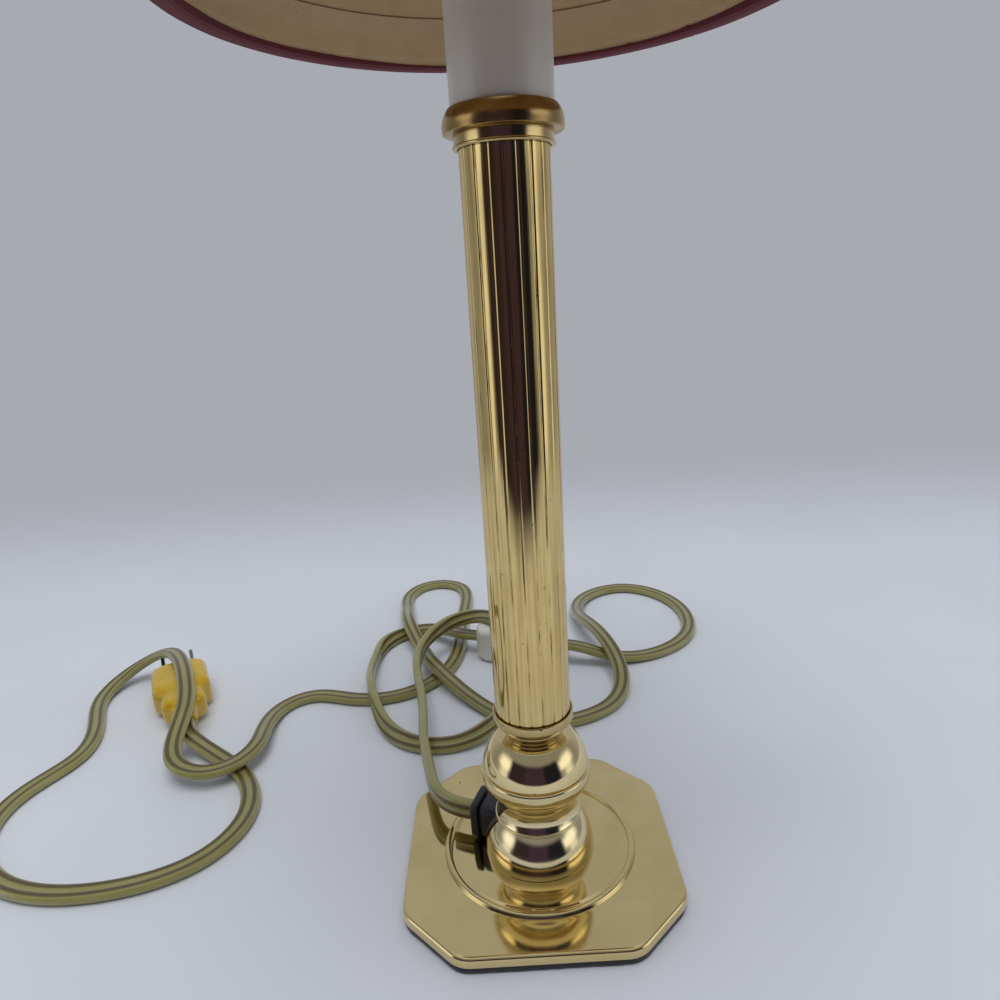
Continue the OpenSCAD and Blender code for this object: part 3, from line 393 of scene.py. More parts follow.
# Cup
# Turned brass: a waist, a fine bead and a flared lip, bored out so that the column's tube stands in it.
# The lacquer is worn off it, so it is duller than the ball.
cup_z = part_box("column_cup")[0].z / MM
cup_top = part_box("column_cup")[1].z / MM
column_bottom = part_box("column")[0].z / MM
cup_bead_z = cup_z + 3.0
bowl_z = cup_bead_z + 1.4
lip_r = 11.9
waist_r = 8.3
waist_flare = 1.4
waist_h = 2.4
cup_profile = [(pipe_room, cup_z), (waist_r, cup_z), (waist_r, cup_z + 0.6)]
cup_profile += [(waist_r + waist_flare * share ** 2, cup_z + 0.6 + waist_h * share)
                for share in (0.1, 0.25, 0.4, 0.55, 0.7, 0.85, 0.96)]
cup_profile += [(9.68, cup_bead_z + 0.02)]
cup_profile += arc(9.4, cup_bead_z + 0.7, 0.66, -72, 72, 12)
cup_profile += [(9.7, bowl_z + 0.02), (9.9, bowl_z + 0.12), (11.6, bowl_z + 1.35), (11.82, bowl_z + 1.55)]
cup_profile += [(lip_r, bowl_z + 1.8), (lip_r, cup_top - 0.35), (11.82, cup_top - 0.1), (11.65, cup_top),
                (11.45, cup_top), (11.33, cup_top - 0.1), (11.3, cup_top - 0.3), (11.3, column_bottom),
                (pipe_room, column_bottom)]
# Worn brass: a soft shine, with brown clouds
worn_brass = polished_brass("worn_turned_brass", "#D8C28C", "#AB925E", 0.15)
piece("column_cup_turned", *turned(cup_profile), worn_brass, "lamp", "brass", "column_cup")

# Column
# Drawn brass tube with twenty narrow grooves rolled into it, which leave broad reeds between them.
# It stands in the cup and is held by the pipe inside. It is darker brown in patches along the grooves, with
# specks of tarnish.
column_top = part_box("column")[1].z / MM
column_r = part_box("column")[1].x / MM
column_bore = 10.2
groove_count = 20
groove_turn = 13.3
groove_r = 1.0
groove_depth = 0.12
groove_half = 27.5
groove_steps = 8
reed_steps = 9
lip_gap = 0.14


def column_section(z, shrink):
    """One ring of the grooved tube, as points at height z."""
    ring = []
    pitch_angle = 2 * math.pi / groove_count
    for i in range(groove_count):
        middle = math.radians(groove_turn) + i * pitch_angle
        flat = []
        for k in range(groove_steps + 1):
            b = math.radians(-groove_half + 2 * groove_half * k / groove_steps)
            x = column_r + groove_r - groove_depth - groove_r * math.cos(b)
            y = groove_r * math.sin(b)
            flat.append((math.hypot(x, y), math.atan2(y, x)))
        edge = flat[-1][1]
        start = edge + lip_gap / column_r
        end = pitch_angle - edge - lip_gap / column_r
        flat += [(column_r, start + (end - start) * k / reed_steps) for k in range(reed_steps + 1)]
        ring += [((r - shrink) * math.cos(middle + a), (r - shrink) * math.sin(middle + a), z)
                 for r, a in flat]
    return ring


# Drawn tube: long faint streaks from the die, and darker brown patches along the grooves
tube_brass, tree, place, sockets = brass_layers("drawn_brass_tube", "#EAD08F", "#DCC07C", 0.05)
parts = add(tree, "SeparateXYZ", {"Vector": place}).outputs
to_front = add(tree, "Math", {0: parts["Y"], 1: -1.0}, operation="MULTIPLY").outputs[0]
angle = add(tree, "Math", {0: parts["X"], 1: to_front}, operation="ARCTAN2").outputs[0]
girth = add(tree, "Math", {0: angle, 1: column_r * MM}, operation="MULTIPLY").outputs[0]
drawn_out = 0.015
drawn_z = add(tree, "Math", {0: parts["Z"], 1: drawn_out}, operation="MULTIPLY").outputs[0]
drawn = add(tree, "CombineXYZ", {"X": girth, "Y": drawn_z}).outputs[0]
streak = add(tree, "TexNoise", {"Vector": drawn, "Scale": per_mm(0.9), "Detail": 3.0}).outputs["Fac"]
dull = add(tree, "MapRange", {"Value": streak, "From Min": 0.45, "From Max": 0.68, "To Max": 0.55}).outputs[0]
colour = add(tree, "Mix", {0: dull, 6: sockets["Base Color"], 7: linear("#A88F58")},
             data_type="RGBA").outputs[2]
groove_at = add(tree, "Math", {0: angle, 1: math.radians(groove_turn)}, operation="SUBTRACT").outputs[0]
groove_at = add(tree, "Math", {0: groove_at, 1: groove_count / (2 * math.pi)},
                operation="MULTIPLY").outputs[0]
groove_far = add(tree, "Math", {0: groove_at, 1: 0.5}, operation="PINGPONG").outputs[0]
in_groove = add(tree, "MapRange", {"Value": groove_far, "From Min": 0.03, "From Max": 0.10, "To Min": 1.0,
                                   "To Max": 0.0}, interpolation_type="SMOOTHSTEP").outputs[0]
patch_place = add(tree, "Mapping", {"Vector": place, "Scale": (1, 1, 0.25)}).outputs[0]
patch = add(tree, "TexNoise", {"Vector": patch_place, "Scale": per_mm(3), "Detail": 6.0}).outputs["Fac"]
patch = add(tree, "MapRange", {"Value": patch, "From Min": 0.46, "From Max": 0.66, "To Max": 0.8}).outputs[0]
groove_patch_dark = add(tree, "Math", {0: in_groove, 1: patch}, operation="MULTIPLY").outputs[0]
sockets["Base Color"] = add(tree, "Mix", {0: groove_patch_dark, 6: colour, 7: linear("#43321A")},
                            data_type="RGBA").outputs[2]
groove_patch_gloss = add(tree, "Math", {0: groove_patch_dark, 1: 0.6}, operation="MULTIPLY").outputs[0]
sockets["Roughness"] = add(tree, "Math", {0: sockets["Roughness"], 1: groove_patch_gloss},
                           operation="MAXIMUM").outputs[0]
sockets["Normal"] = add(tree, "Bump", {"Height": streak, "Strength": 0.6, "Distance": 0.05 * MM,
                                       "Normal": sockets["Normal"]}).outputs["Normal"]
close_finish(tree, sockets)
outer = [column_section(column_bottom, 0.15), column_section(column_bottom + 0.15, 0),
         column_section(column_bottom + 0.5, 0), column_section(column_top - 0.5, 0),
         column_section(column_top - 0.15, 0), column_section(column_top, 0.15)]
inner = [[(p.x, p.y, z) for p in (Vector((x, y)).normalized() * column_bore for x, y, _ in outer[0])]
         for z in (column_top, column_bottom)]
piece("column_grooved", *skin(outer + inner), tube_brass, "lamp", "brass", "column", sharp=50)

# Collar
# Thin turned brass ring with a fine bead at its lower edge, which caps the tube.
collar_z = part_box("collar_ring")[0].z / MM
collar_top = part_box("collar_ring")[1].z / MM
collar_r = 12.1
collar_bore = 11.3
collar_profile = [(pipe_room, column_top), (collar_bore, column_top), (collar_bore, collar_z),
                  (collar_r, collar_z)]
collar_profile += arc(12.05, collar_z + 0.42, 0.4, -80, 80, 10)
collar_profile += [(12.12, collar_z + 0.86), (collar_r, collar_z + 1.0), (collar_r, collar_top - 0.2),
                   (collar_r - 0.15, collar_top), (pipe_room, collar_top)]
piece("collar_ring_turned", *turned(collar_profile), worn_brass, "lamp", "brass", "collar_ring")

# Candle ring
# Turned half-round brass ring, pinched between collar and washer, with a recess that the candle sleeve
# stands in. Its brass is painted darker and browner than the ball's, as painted reflection of the shade
# above, and it is the dullest brass of the stick.
# The darker, browner tones are painted reflection of the shade's underside
ring_brass = polished_brass("turned_brass_painted_shade_reflection", "#C8AC72", "#8A6A3E", 0.22)
ring_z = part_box("candle_ring")[0].z / MM
ring_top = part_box("candle_ring")[1].z / MM
candle_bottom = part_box("candle_sleeve")[0].z / MM
ring_round_r = 5.8
ring_centre_r = 8.8
ring_belly_z = ring_z + 1.5
ring_bore = 12.7
low_turn = math.degrees(math.asin(-1.4 / ring_round_r))
high_turn = math.degrees(math.asin((ring_top - 0.12 - ring_belly_z) / ring_round_r))
ring_profile = [(pipe_room, ring_z), (14.2, ring_z), (14.34, ring_z + 0.04)]
ring_profile += arc(ring_centre_r, ring_belly_z, ring_round_r, low_turn, high_turn, 24)
ring_profile += [(12.9, ring_top), (ring_bore + 0.05, ring_top - 0.05), (ring_bore, ring_top - 0.2),
                 (ring_bore, candle_bottom), (pipe_room, candle_bottom)]
piece("candle_ring_turned", *turned(ring_profile), ring_brass, "lamp", "brass", "candle_ring")

# Candle sleeve
# White moulded plastic tube, made to look like a candle. It stands loose in the ring and slips up
# over the socket.

# Styrene as it came from the mould: half glossy and a little milky, with slow flow marks
styrene, tree, place, drift, tone = mottled("moulded_white_styrene", 18, 3.0, "#E9E5DC", "#D8D2C5")
gloss = add(tree, "MapRange", {"Value": drift, "To Min": 0.22, "To Max": 0.4}).outputs[0]
ripple = add(tree, "TexNoise", {"Vector": place, "Scale": per_mm(2.5), "Detail": 2.0}).outputs["Fac"]
flow = add(tree, "Bump", {"Height": ripple, "Strength": 0.2, "Distance": 0.05 * MM}).outputs["Normal"]
close_finish(tree,
             {"Base Color": tone, "Roughness": gloss, "IOR": 1.52, "Subsurface Weight": 0.25,
              "Subsurface Radius": (3 * MM, 2.4 * MM, 1.8 * MM), "Subsurface Scale": 1.0, "Normal": flow})
candle_sides = 160
candle_r = 12.4
candle_in = 11.2
candle_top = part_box("candle_sleeve")[1].z / MM
candle_profile = [(candle_in, candle_bottom), (candle_r - 0.3, candle_bottom),
                  (candle_r, candle_bottom + 0.3)]
candle_profile += [(candle_r, candle_bottom + 0.8), (candle_r, candle_top - 1.2),
                   (candle_r, candle_top - 0.6)]
candle_profile += arc(candle_r - 0.5, candle_top - 0.5, 0.5, 10, 90, 6)
candle_profile += arc(candle_in + 0.4, candle_top - 0.4, 0.4, 90, 180, 5)
piece("candle_sleeve_moulded", *turned(candle_profile, candle_sides), styrene, "candle", "candle_plastic",
      "candle_sleeve")

# Pipe, nuts and washers
# Threaded lamp pipe of plated steel with brass nuts and washers. It pulls base, stick and candle ring
# together.


def band_scale(size):
    """Scale of a wave pattern with bands this many millimetres apart: at scale 1 they repeat every 0.314."""
    return 0.314 / (size * MM)


# Zinc plate: pale grey with a dull spangle, and the turns of the pipe's thread
pipe_pitch = 0.94
zinc, tree = new_finish("zinc_plated_steel")
place = add(tree, "TexCoord").outputs["Object"]
spangle = add(tree, "TexVoronoi", {"Vector": place, "Scale": per_mm(1.2)}).outputs["Color"]
lightness = add(tree, "RGBToBW", {"Color": spangle}).outputs["Val"]
tone = add(tree, "Mix", {0: lightness, 6: linear("#A9ACB0"), 7: linear("#C6C8CA")}, data_type="RGBA")
gloss = add(tree, "MapRange", {"Value": lightness, "To Min": 0.28, "To Max": 0.45}).outputs[0]
turns = add(tree, "TexWave", {"Vector": place, "Scale": band_scale(pipe_pitch)},
            bands_direction="Z").outputs["Fac"]
thread = add(tree, "Bump", {"Height": turns, "Strength": 0.7, "Distance": 0.3 * MM})
close_finish(tree, {"Base Color": tone.outputs[2], "Metallic": 1.0, "Roughness": gloss,
                    "Normal": thread.outputs["Normal"]})


def dress(finish, *names):
    """Gives CAD nodes a finish on every slot."""
    for name in names:
        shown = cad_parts[name]
        if not shown.material_slots:
            shown.data.materials.append(finish)
        for held in shown.material_slots:
            held.material = finish


# Stamped brass, never buffed: a plain soft shine
plain_brass = polished_brass("stamped_brass", "#E2C98E", "#CFB173", 0.22)
dress(zinc, "lamp_pipe")
dress(plain_brass, "base_washer", "base_nut", "ring_washer", "ring_nut", "bracket_nut")

# Socket
# A stamped strap carries a moulded phenolic candelabra socket with a brass screw shell, a centre contact
# and screws.

# Plated strip: a grey metal with a soft shine
sheet_steel = polished_brass("plated_strap_steel", "#C9C7BE", "#B2AFA6", 0.3)
# Phenolic: dark brown and half glossy, with the grain of its wood flour
phenolic, tree, _, _, tone = mottled("moulded_phenolic", 1.0, 5.0, "#1B1411", "#3A2A22")
close_finish(tree, {"Base Color": tone, "Roughness": 0.38, "IOR": 1.6})
dress(sheet_steel, "socket_bracket")
dress(phenolic, "socket_body")
dress(plain_brass, "socket_shell", "socket_contact", "socket_screws")

# Inner leads
# Two PVC-covered wires from the cord up the pipe to the socket's screws.
# They are smooth and half glossy, with slow smears of tone.
lead, tree, _, _, tone = mottled("soft_pvc_lead", 3, 3.0, "#7A6C3E", "#94854F")
close_finish(tree, {"Base Color": tone, "Roughness": 0.4, "IOR": 1.53})
dress(lead, "inner_leads")

# Bulb
# Clear candle bulb: blown glass, a pressed brass screw cap, a contact and a coiled tungsten filament.
# It screws into the socket's shell.

# Blown glass: clear, with slow waves in its wall
glass, tree = new_finish("blown_clear_glass")
place = add(tree, "TexCoord").outputs["Object"]
cord_lines = add(tree, "TexNoise", {"Vector": place, "Scale": per_mm(9), "Detail": 1.0}).outputs["Fac"]
uneven = add(tree, "Bump", {"Height": cord_lines, "Strength": 0.2, "Distance": 0.1 * MM})
close_finish(tree, {"Base Color": linear("#F6F8F7"), "Roughness": 0.02, "IOR": 1.5,
                    "Transmission Weight": 1.0, "Normal": uneven.outputs["Normal"]})
# Pressed brass: rubbed and half dull, with the turns of its rolled thread
cap_pitch = 2.54
cap_metal, tree, place, _, tone = mottled("pressed_cap_brass", 2, 4.0, "#CBB888", "#B7A06A")
turns = add(tree, "TexWave", {"Vector": place, "Scale": band_scale(cap_pitch)},
            bands_direction="Z").outputs["Fac"]
thread = add(tree, "Bump", {"Height": turns, "Strength": 0.8, "Distance": 0.5 * MM}).outputs["Normal"]
close_finish(tree, {"Base Color": tone, "Metallic": 1.0, "Roughness": 0.3, "Normal": thread})
# Drawn tungsten: dark grey, with the turns of its coil
coil_pitch = 0.5
tungsten, tree = new_finish("drawn_tungsten")
place = add(tree, "TexCoord").outputs["Object"]
coil = add(tree, "TexWave", {"Vector": place, "Scale": band_scale(coil_pitch)},
           bands_direction="X").outputs["Fac"]
tone = add(tree, "Mix", {0: coil, 6: linear("#5B5A57"), 7: linear("#A5A29B")}, data_type="RGBA")
close_finish(tree, {"Base Color": tone.outputs[2], "Metallic": 1.0, "Roughness": 0.4})
dress(glass, "bulb_glass")
dress(cap_metal, "bulb_cap", "bulb_contact")
dress(tungsten, "bulb_filament")

# Bulb clip and shade rings
# Brass-plated spring wire: two loops that grip the bulb, two arms up to the top ring, and the two rings
# of the frame. The plate is thin, so its shine is soft.
wire_brass = polished_brass("brass_plated_wire", "#E0C78D", "#CBAE70", 0.2)
dress(wire_brass, "clip_loops", "clip_arms", "shade_top_ring", "shade_bottom_ring")

# Shade cover
# Plain woven burgundy cloth drawn tight over the two rings, with one lapped seam up the back.
shade_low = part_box("shade_cover")[0].z / MM
shade_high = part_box("shade_cover")[1].z / MM
shade_low_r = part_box("shade_cover")[1].x / MM
shade_high_r = 40.4
shade_slope = (shade_low_r - shade_high_r) / (shade_high - shade_low)
shade_mean_r = 60
cover_t = 0.7
cover_sides = 360
cover_rows = 24
seam_turn = math.radians(90)
seam_width = 8.0
seam_rise = 0.35


def shade_r(z):
    """Radius of the shade's outer face at a height."""
    return shade_low_r - (z - shade_low) * shade_slope


def woven(name, thread_mm, tones, gloss, sheen, depth):
    """Plain weave on a cone: warp up the slope, weft round it, with slubs. Drawn coarse, so that it shows."""
    finish, tree = new_finish(name)
    place = add(tree, "TexCoord").outputs["Object"]
    parts = add(tree, "SeparateXYZ", {"Vector": place}).outputs
    angle = add(tree, "Math", {0: parts["Y"], 1: parts["X"]}, operation="ARCTAN2").outputs[0]
    girth = add(tree, "Math", {0: angle, 1: shade_mean_r * MM}, operation="MULTIPLY").outputs[0]
    flat = add(tree, "CombineXYZ", {"X": girth, "Y": parts["Z"]}).outputs[0]
    yarn = {"Vector": flat, "Scale": band_scale(thread_mm), "Distortion": 1.2, "Detail": 1.0,
            "Detail Scale": 0.6}
    warp = add(tree, "TexWave", yarn, bands_direction="X").outputs["Fac"]
    weft = add(tree, "TexWave", yarn, bands_direction="Y").outputs["Fac"]
    weave = add(tree, "Math", {0: warp, 1: weft}, operation="MULTIPLY").outputs[0]
    slub = add(tree, "TexNoise", {"Vector": place, "Scale": per_mm(7), "Detail": 5.0}).outputs["Fac"]
    base = add(tree, "Mix", {0: slub, 6: linear(tones[0]), 7: linear(tones[1])}, data_type="RGBA").outputs[2]
    gap = add(tree, "MapRange", {"Value": weave, "From Max": 0.5, "To Min": 0.45, "To Max": 0.0}).outputs[0]
    colour = add(tree, "Mix", {0: gap, 6: base, 7: linear(tones[2])}, data_type="RGBA").outputs[2]
    bump = add(tree, "Bump", {"Height": weave, "Strength": 0.6, "Distance": depth * MM})
    return finish, tree, {"Base Color": colour, "Roughness": gloss, "Sheen Weight": sheen,
                          "Normal": bump.outputs["Normal"]}, parts


# Plain cotton, drawn tight: dull, with an even weave and a slight bloom
cover_tones = ("#6A1C2C", "#581624", "#38101A")
cover_cloth, tree, sockets, _ = woven("burgundy_woven_cotton", 0.7, cover_tones, 0.8, 0.25, 0.15)
close_finish(tree, sockets)


def lap(angle):
    """How far the cover stands out at the lapped seam."""
    off = abs(angle - seam_turn) * shade_mean_r
    return seam_rise if off < seam_width / 2 else 0.0


turns = [2 * math.pi * k / cover_sides for k in range(cover_sides)]
heights = [shade_low + (shade_high - shade_low) * i / cover_rows for i in range(cover_rows + 1)]
outside = [[((shade_r(z) + lap(a)) * math.cos(a), (shade_r(z) + lap(a)) * math.sin(a), z) for a in turns]
           for z in heights]
inside = [[((shade_r(z) - cover_t) * math.cos(a), (shade_r(z) - cover_t) * math.sin(a), z) for a in turns]
          for z in reversed(heights)]
shade_cover = piece("shade_cover_cloth", *skin(outside + inside), cover_cloth, "shade", "shade_cloth",
                    "shade_cover")

# Shade lining
# Beige cotton inside the rings, turned up into a hem that is sewn all round.
lining_t = 0.5
hem_h = 13.2
hem_t = 0.4
hem_z = shade_low + hem_h
# Lining cotton: finer and smoother than the cover, with a thin dark line painted along the hem's top edge as
# painted shadow of the fold
lining_tones = ("#DEC39A", "#CDB088", "#A68A64")
lining_cloth, tree, sockets, parts = woven("beige_cotton_lining", 0.45, lining_tones, 0.75, 0.1, 0.06)
# The dark line at the hem's top edge is painted shadow of the fold
hem_line_off = add(tree, "Math", {0: parts["Z"], 1: hem_z * MM}, operation="SUBTRACT").outputs[0]
hem_line_far = add(tree, "Math", {0: hem_line_off}, operation="ABSOLUTE").outputs[0]
hem_fold_shadow = add(tree, "MapRange", {"Value": hem_line_far, "From Min": 0.12 * MM, "From Max": 0.4 * MM,
                                "To Min": 0.85, "To Max": 0.0}).outputs[0]
sockets["Base Color"] = add(tree, "Mix", {0: hem_fold_shadow, 6: sockets["Base Color"], 7: linear("#5C452C")},
                            data_type="RGBA").outputs[2]
close_finish(tree, sockets)
lining_profile = [(cover_t, shade_low + 0.1), (cover_t, shade_high - 0.1),
                  (cover_t + lining_t, shade_high - 0.1)]
lining_profile += [(cover_t + lining_t, z) for z in (shade_high - 30, shade_high - 60, hem_z + 0.25)]
lining_profile += [(cover_t + lining_t + 0.1, hem_z + 0.05), (cover_t + lining_t + 0.55, hem_z - 0.2),
                   (cover_t + lining_t + 0.6, hem_z - 0.7), (cover_t + lining_t + hem_t, hem_z - 2)]
# The hem is drawn in over the bottom ring, so that only the tape shows below it
over_ring = [(1.6, 8.5), (2.2, 6.2), (3.2, 4.2), (3.9, 3.0), (4.14, 2.0), (4.17, 1.2), (4.14, 0.4),
             (4.0, 0.4), (3.98, 1.25), (3.85, 2.2), (2.9, 3.4), (1.5, 5.0), (1.5, 0.1)]
lining_profile += [(inward, shade_low + rise) for inward, rise in over_ring]
lining_profile = [(shade_r(z) - inward, z) for inward, z in lining_profile]
shade_lining = piece("shade_lining_cloth", *turned(lining_profile, cover_sides),
                     lining_cloth, "shade", "lining", "shade_lining")

# Binding tapes
# Bias-cut burgundy tape, folded round each rim over the ring and glued. It puckers here and there
# on the inside.

# The cover's cotton in a tape: a finer weave, and a little redder
tape_tones = ("#74202C", "#5C1822", "#3C1118")
tape_cloth, tree, sockets, _ = woven("burgundy_bias_tape", 0.5, tape_tones, 0.8, 0.05, 0.1)
close_finish(tree, sockets)
tape_t = 0.5
tape_out = 5.0
tape_in = 1.1
inner_leg = 4.2
tape_sides = 720
tape_give = 0.45
pucker_count = 11
pucker_depth = 0.55
pucker_lift = 0.5


def bound_rim(z_rim, way, seed):
    """Rings of a folded tape at a rim's height. way is 1 for the bottom rim and -1 for the top one."""
    draw = random.Random(seed)
    puckers = [(2 * math.pi * (i + draw.uniform(-0.3, 0.3)) / pucker_count, draw.uniform(0.010, 0.022),
                draw.uniform(-1, 1)) for i in range(pucker_count)]
    # Each point is a distance in from the cone, a rise from the rim and a share of the puckers
    profile = [(-0.06, tape_out, 0.0), (-0.4, tape_out - 0.1, 0.2), (-tape_t, tape_out - 0.5, 0.3),
               (-tape_t, 2.5, 0.4), (-tape_t, 0.9, 0.6), (-0.2, 0.0, 0.8), (0.6, -tape_t, 0.9),
               (2.1, -tape_t, 1.0), (3.6, -tape_t, 1.0), (4.4, -0.2, 1.0), (inner_leg + tape_t, 0.0, 1.0),
               (inner_leg + tape_t, 0.3, 1.0), (inner_leg + tape_t, tape_in - 0.2, 1.1),
               (inner_leg + 0.3, tape_in, 1.1), (inner_leg, tape_in, 1.1), (inner_leg, 0.2, 0.0),
               (3.4, 0.1, 0.0), (0.7, 0.2, 0.0), (0.06, 1.0, 0.0), (0.0, tape_out - 0.4, 0.0)]
    rings = []
    for inward, rise, slack in profile:
        ring = []
        for k in range(tape_sides):
            a = 2 * math.pi * k / tape_sides
            fold = 0.12 * math.sin(9 * a + seed) + 0.08 * math.sin(23 * a + 2 * seed)
            lift = 0.0
            for middle, width, lean in puckers:
                off = (a - middle + math.pi) % (2 * math.pi) - math.pi
                near = math.exp(-(off / width) ** 2)
                fold += pucker_depth * near * math.cos(3 * off / width + lean)
                lift += pucker_lift * near * lean
            wander = 0.5 * math.cos(2 * a) + 0.2 * math.sin(7 * a + seed) + 0.5 * lift
            z = z_rim + way * (rise + (wander if slack > 1 else 0))
            r = shade_r(z) - inward - tape_give * slack * fold
            ring.append((r * math.cos(a), r * math.sin(a), z))
        rings.append(ring)
    return rings


piece("shade_bottom_binding", *skin(bound_rim(shade_low, 1, 5)), tape_cloth, "shade", "shade_cloth",
      "shade_bottom_tape")
piece("shade_top_binding", *skin(bound_rim(shade_high, -1, 8)), tape_cloth, "shade", "shade_cloth",
      "shade_top_tape")

# In-line switch
# Two moulded off-white halves screwed together round the cord, with a thumb wheel on a steel pin and
# brass contacts.

# ABS as it came from the mould: ivory, half glossy and a little milky
abs_white, tree, _, drift, tone = mottled("moulded_ivory_abs", 8, 4.0, "#EFEDE6", "#DFDBCE")
gloss = add(tree, "MapRange", {"Value": drift, "To Min": 0.25, "To Max": 0.42}).outputs[0]
close_finish(tree, {"Base Color": tone, "Roughness": gloss, "IOR": 1.54, "Subsurface Weight": 0.3,
                    "Subsurface Radius": (2.5 * MM, 2.2 * MM, 1.8 * MM), "Subsurface Scale": 1.0})
dress(abs_white, "switch_base", "switch_lid", "switch_wheel")
dress(zinc, "switch_axle")
dress(plain_brass, "switch_contacts", "switch_screws")

# Cord
# Flat twin lamp cord: two stranded copper cores side by side in clear amber PVC, with a groove between them.
# One length runs from the bushing to the switch, the other from the switch to the plug.

# Clear amber PVC over bare copper: a glossy olive skin with a dark line over each core
pvc, tree = new_finish("amber_clear_pvc_cord")
across = add(tree, "Attribute", attribute_name="across").outputs["Fac"]
along = add(tree, "Attribute", attribute_name="along").outputs["Fac"]
core_off = 1.7
from_middle = add(tree, "Math", {0: across}, operation="ABSOLUTE").outputs[0]
from_core = add(tree, "Math", {0: from_middle, 1: core_off}, operation="SUBTRACT").outputs[0]
core_far = add(tree, "Math", {0: from_core}, operation="ABSOLUTE").outputs[0]
core = add(tree, "MapRange", {"Value": core_far, "From Min": 0.45, "From Max": 1.05, "To Min": 1.0,
                              "To Max": 0.0}, interpolation_type="SMOOTHSTEP").outputs[0]
# The twisted strands show through as slanting bands, drawn coarser than real, so that they show
strand_gap = 1.6
strand_lean = 2.4
lay = add(tree, "Math", {0: from_core, 1: strand_lean}, operation="MULTIPLY").outputs[0]
twist = add(tree, "Math", {0: along, 1: lay}, operation="ADD").outputs[0]
strand_turn = add(tree, "Math", {0: twist, 1: 2 * math.pi / strand_gap}, operation="MULTIPLY").outputs[0]
strand = add(tree, "Math", {0: strand_turn}, operation="SINE").outputs[0]
strand = add(tree, "MapRange", {"Value": strand, "From Min": -1.0}).outputs[0]
copper = add(tree, "Mix", {0: strand, 6: linear("#3D3316"), 7: linear("#6A5A26")},
             data_type="RGBA").outputs[2]
place = add(tree, "TexCoord").outputs["Object"]
haze = add(tree, "TexNoise", {"Vector": place, "Scale": per_mm(12), "Detail": 3.0}).outputs["Fac"]
cover = add(tree, "Mix", {0: haze, 6: linear("#A5A162"), 7: linear("#8E8A4B")}, data_type="RGBA").outputs[2]
tone = add(tree, "Mix", {0: core, 6: cover, 7: copper}, data_type="RGBA").outputs[2]
gloss = add(tree, "MapRange", {"Value": haze, "To Min": 0.22, "To Max": 0.4}).outputs[0]
close_finish(tree, {"Base Color": tone, "Roughness": gloss, "IOR": 1.53, "Subsurface Weight": 0.2,
                    "Subsurface Radius": (2 * MM, 1.6 * MM, 0.7 * MM), "Subsurface Scale": 1.0,
                    "Coat Weight": 0.6, "Coat Roughness": 0.12})

# Route of each length: x, y and z in mm, and the roll of its flat side in degrees, 0 flat and 90 on edge
to_switch = [
    (-19.4, 7, 13.2, 90), (-25.5, 9.3, 13.3, 90), (-31.5, 14.5, 13.4, 90), (-35, 24, 13.1, 90),
    (-37.5, 36, 12.3, 90), (-40, 50, 11, 90), (-42, 70, 9.8, 90), (-45, 90, 10, 90), (-48, 110, 11, 90),
    (-45, 128, 12.5, 90), (-36, 139, 15, 105), (-24, 140, 18, 130), (-12, 132, 20, 150), (-4, 117, 19, 140),
    (-1, 100, 14, 110), (-4, 83, 10, 75), (-12, 69, 6.2, 45), (-27, 59.5, 2.8, 27), (-44, 60, 2.7, 27),
    (-58, 72, 4.2, 65), (-66, 92, 8, 90), (-70, 113, 5.2, 90), (-70, 132, 3.8, 90), (-67, 147, 3.4, 125),
    (-57.5, 157, 2.9, 150), (-44, 155.5, 5, 165), (-28.2, 141.3, 8.5, 180), (-16, 136.8, 8.5, 180),
]
to_plug = [
    (16, 125.2, 8.5, 0), (28.2, 120.7, 8.2, 0), (42, 118.5, 4.2, 0), (61, 122, 1.9, 0), (79, 135, 1.9, 0),
    (87, 156, 1.9, 0), (82, 183, 1.9, 0), (61, 200, 1.9, 0), (38, 189, 2.5, 0), (31, 162, 6, 0),
    (35, 140, 10, 0), (41, 117, 9.6, 0), (43, 98, 4.6, 0), (36, 82, 2, 0), (20, 72, 1.9, 0),
    (0, 71, 1.9, 0), (-21, 88, 2.8, 0), (-38, 111, 5.9, 0), (-49, 137, 4.8, 0), (-57, 160, 8, 0),
    (-60.5, 184, 4, 0), (-62, 202, 2, 0), (-57, 215.5, 1.9, 0), (-45, 221.5, 1.9, 0), (-33, 215.5, 1.9, 0),
    (-28.5, 202, 1.9, 0), (-29, 180, 1.9, 0), (-30, 152, 1.9, 0), (-34, 122, 1.9, 0), (-50, 101, 1.9, 0),
    (-73, 97, 1.9, 0), (-92, 102, 1.9, 0), (-105, 95, 1.9, 0), (-108.5, 77, 4, 0), (-107.5, 61, 5.8, 0),
    (-112.5, 50, 5.8, 0), (-123.5, 45.5, 5.9, 0), (-134.5, 50, 7.7, 0), (-139, 62, 10.6, 0),
    (-141, 79, 14.4, 0), (-147, 96, 17.4, 0), (-157, 115, 17.4, 0), (-171, 129, 13.5, 0), (-187, 127, 6, 0),
    (-193, 110, 2.1, 0), (-185, 88, 1.9, 0), (-181, 66, 1.9, 0), (-190, 46, 1.9, 0), (-191, 25, 1.9, 0),
    (-178, 5, 1.9, 0), (-157, -5, 1.9, 0), (-132, -5, 1.9, 0), (-110, 5, 1.9, 0), (-101, 25, 1.9, 0),
    (-107, 45, 2, 0), (-120, 58, 2.5, 0), (-137.7, 70.8, 6.6, 0), (-141.5, 79, 7.5, 0),
]
cord_w = 7.0
lobe_r = 1.8
lobe_off = cord_w / 2 - lobe_r
groove_half_t = 1.1
lobe_turn = 122
lobe_steps = 12
cord_step = 1.5
fine_steps = 40
floor_gap = 0.03


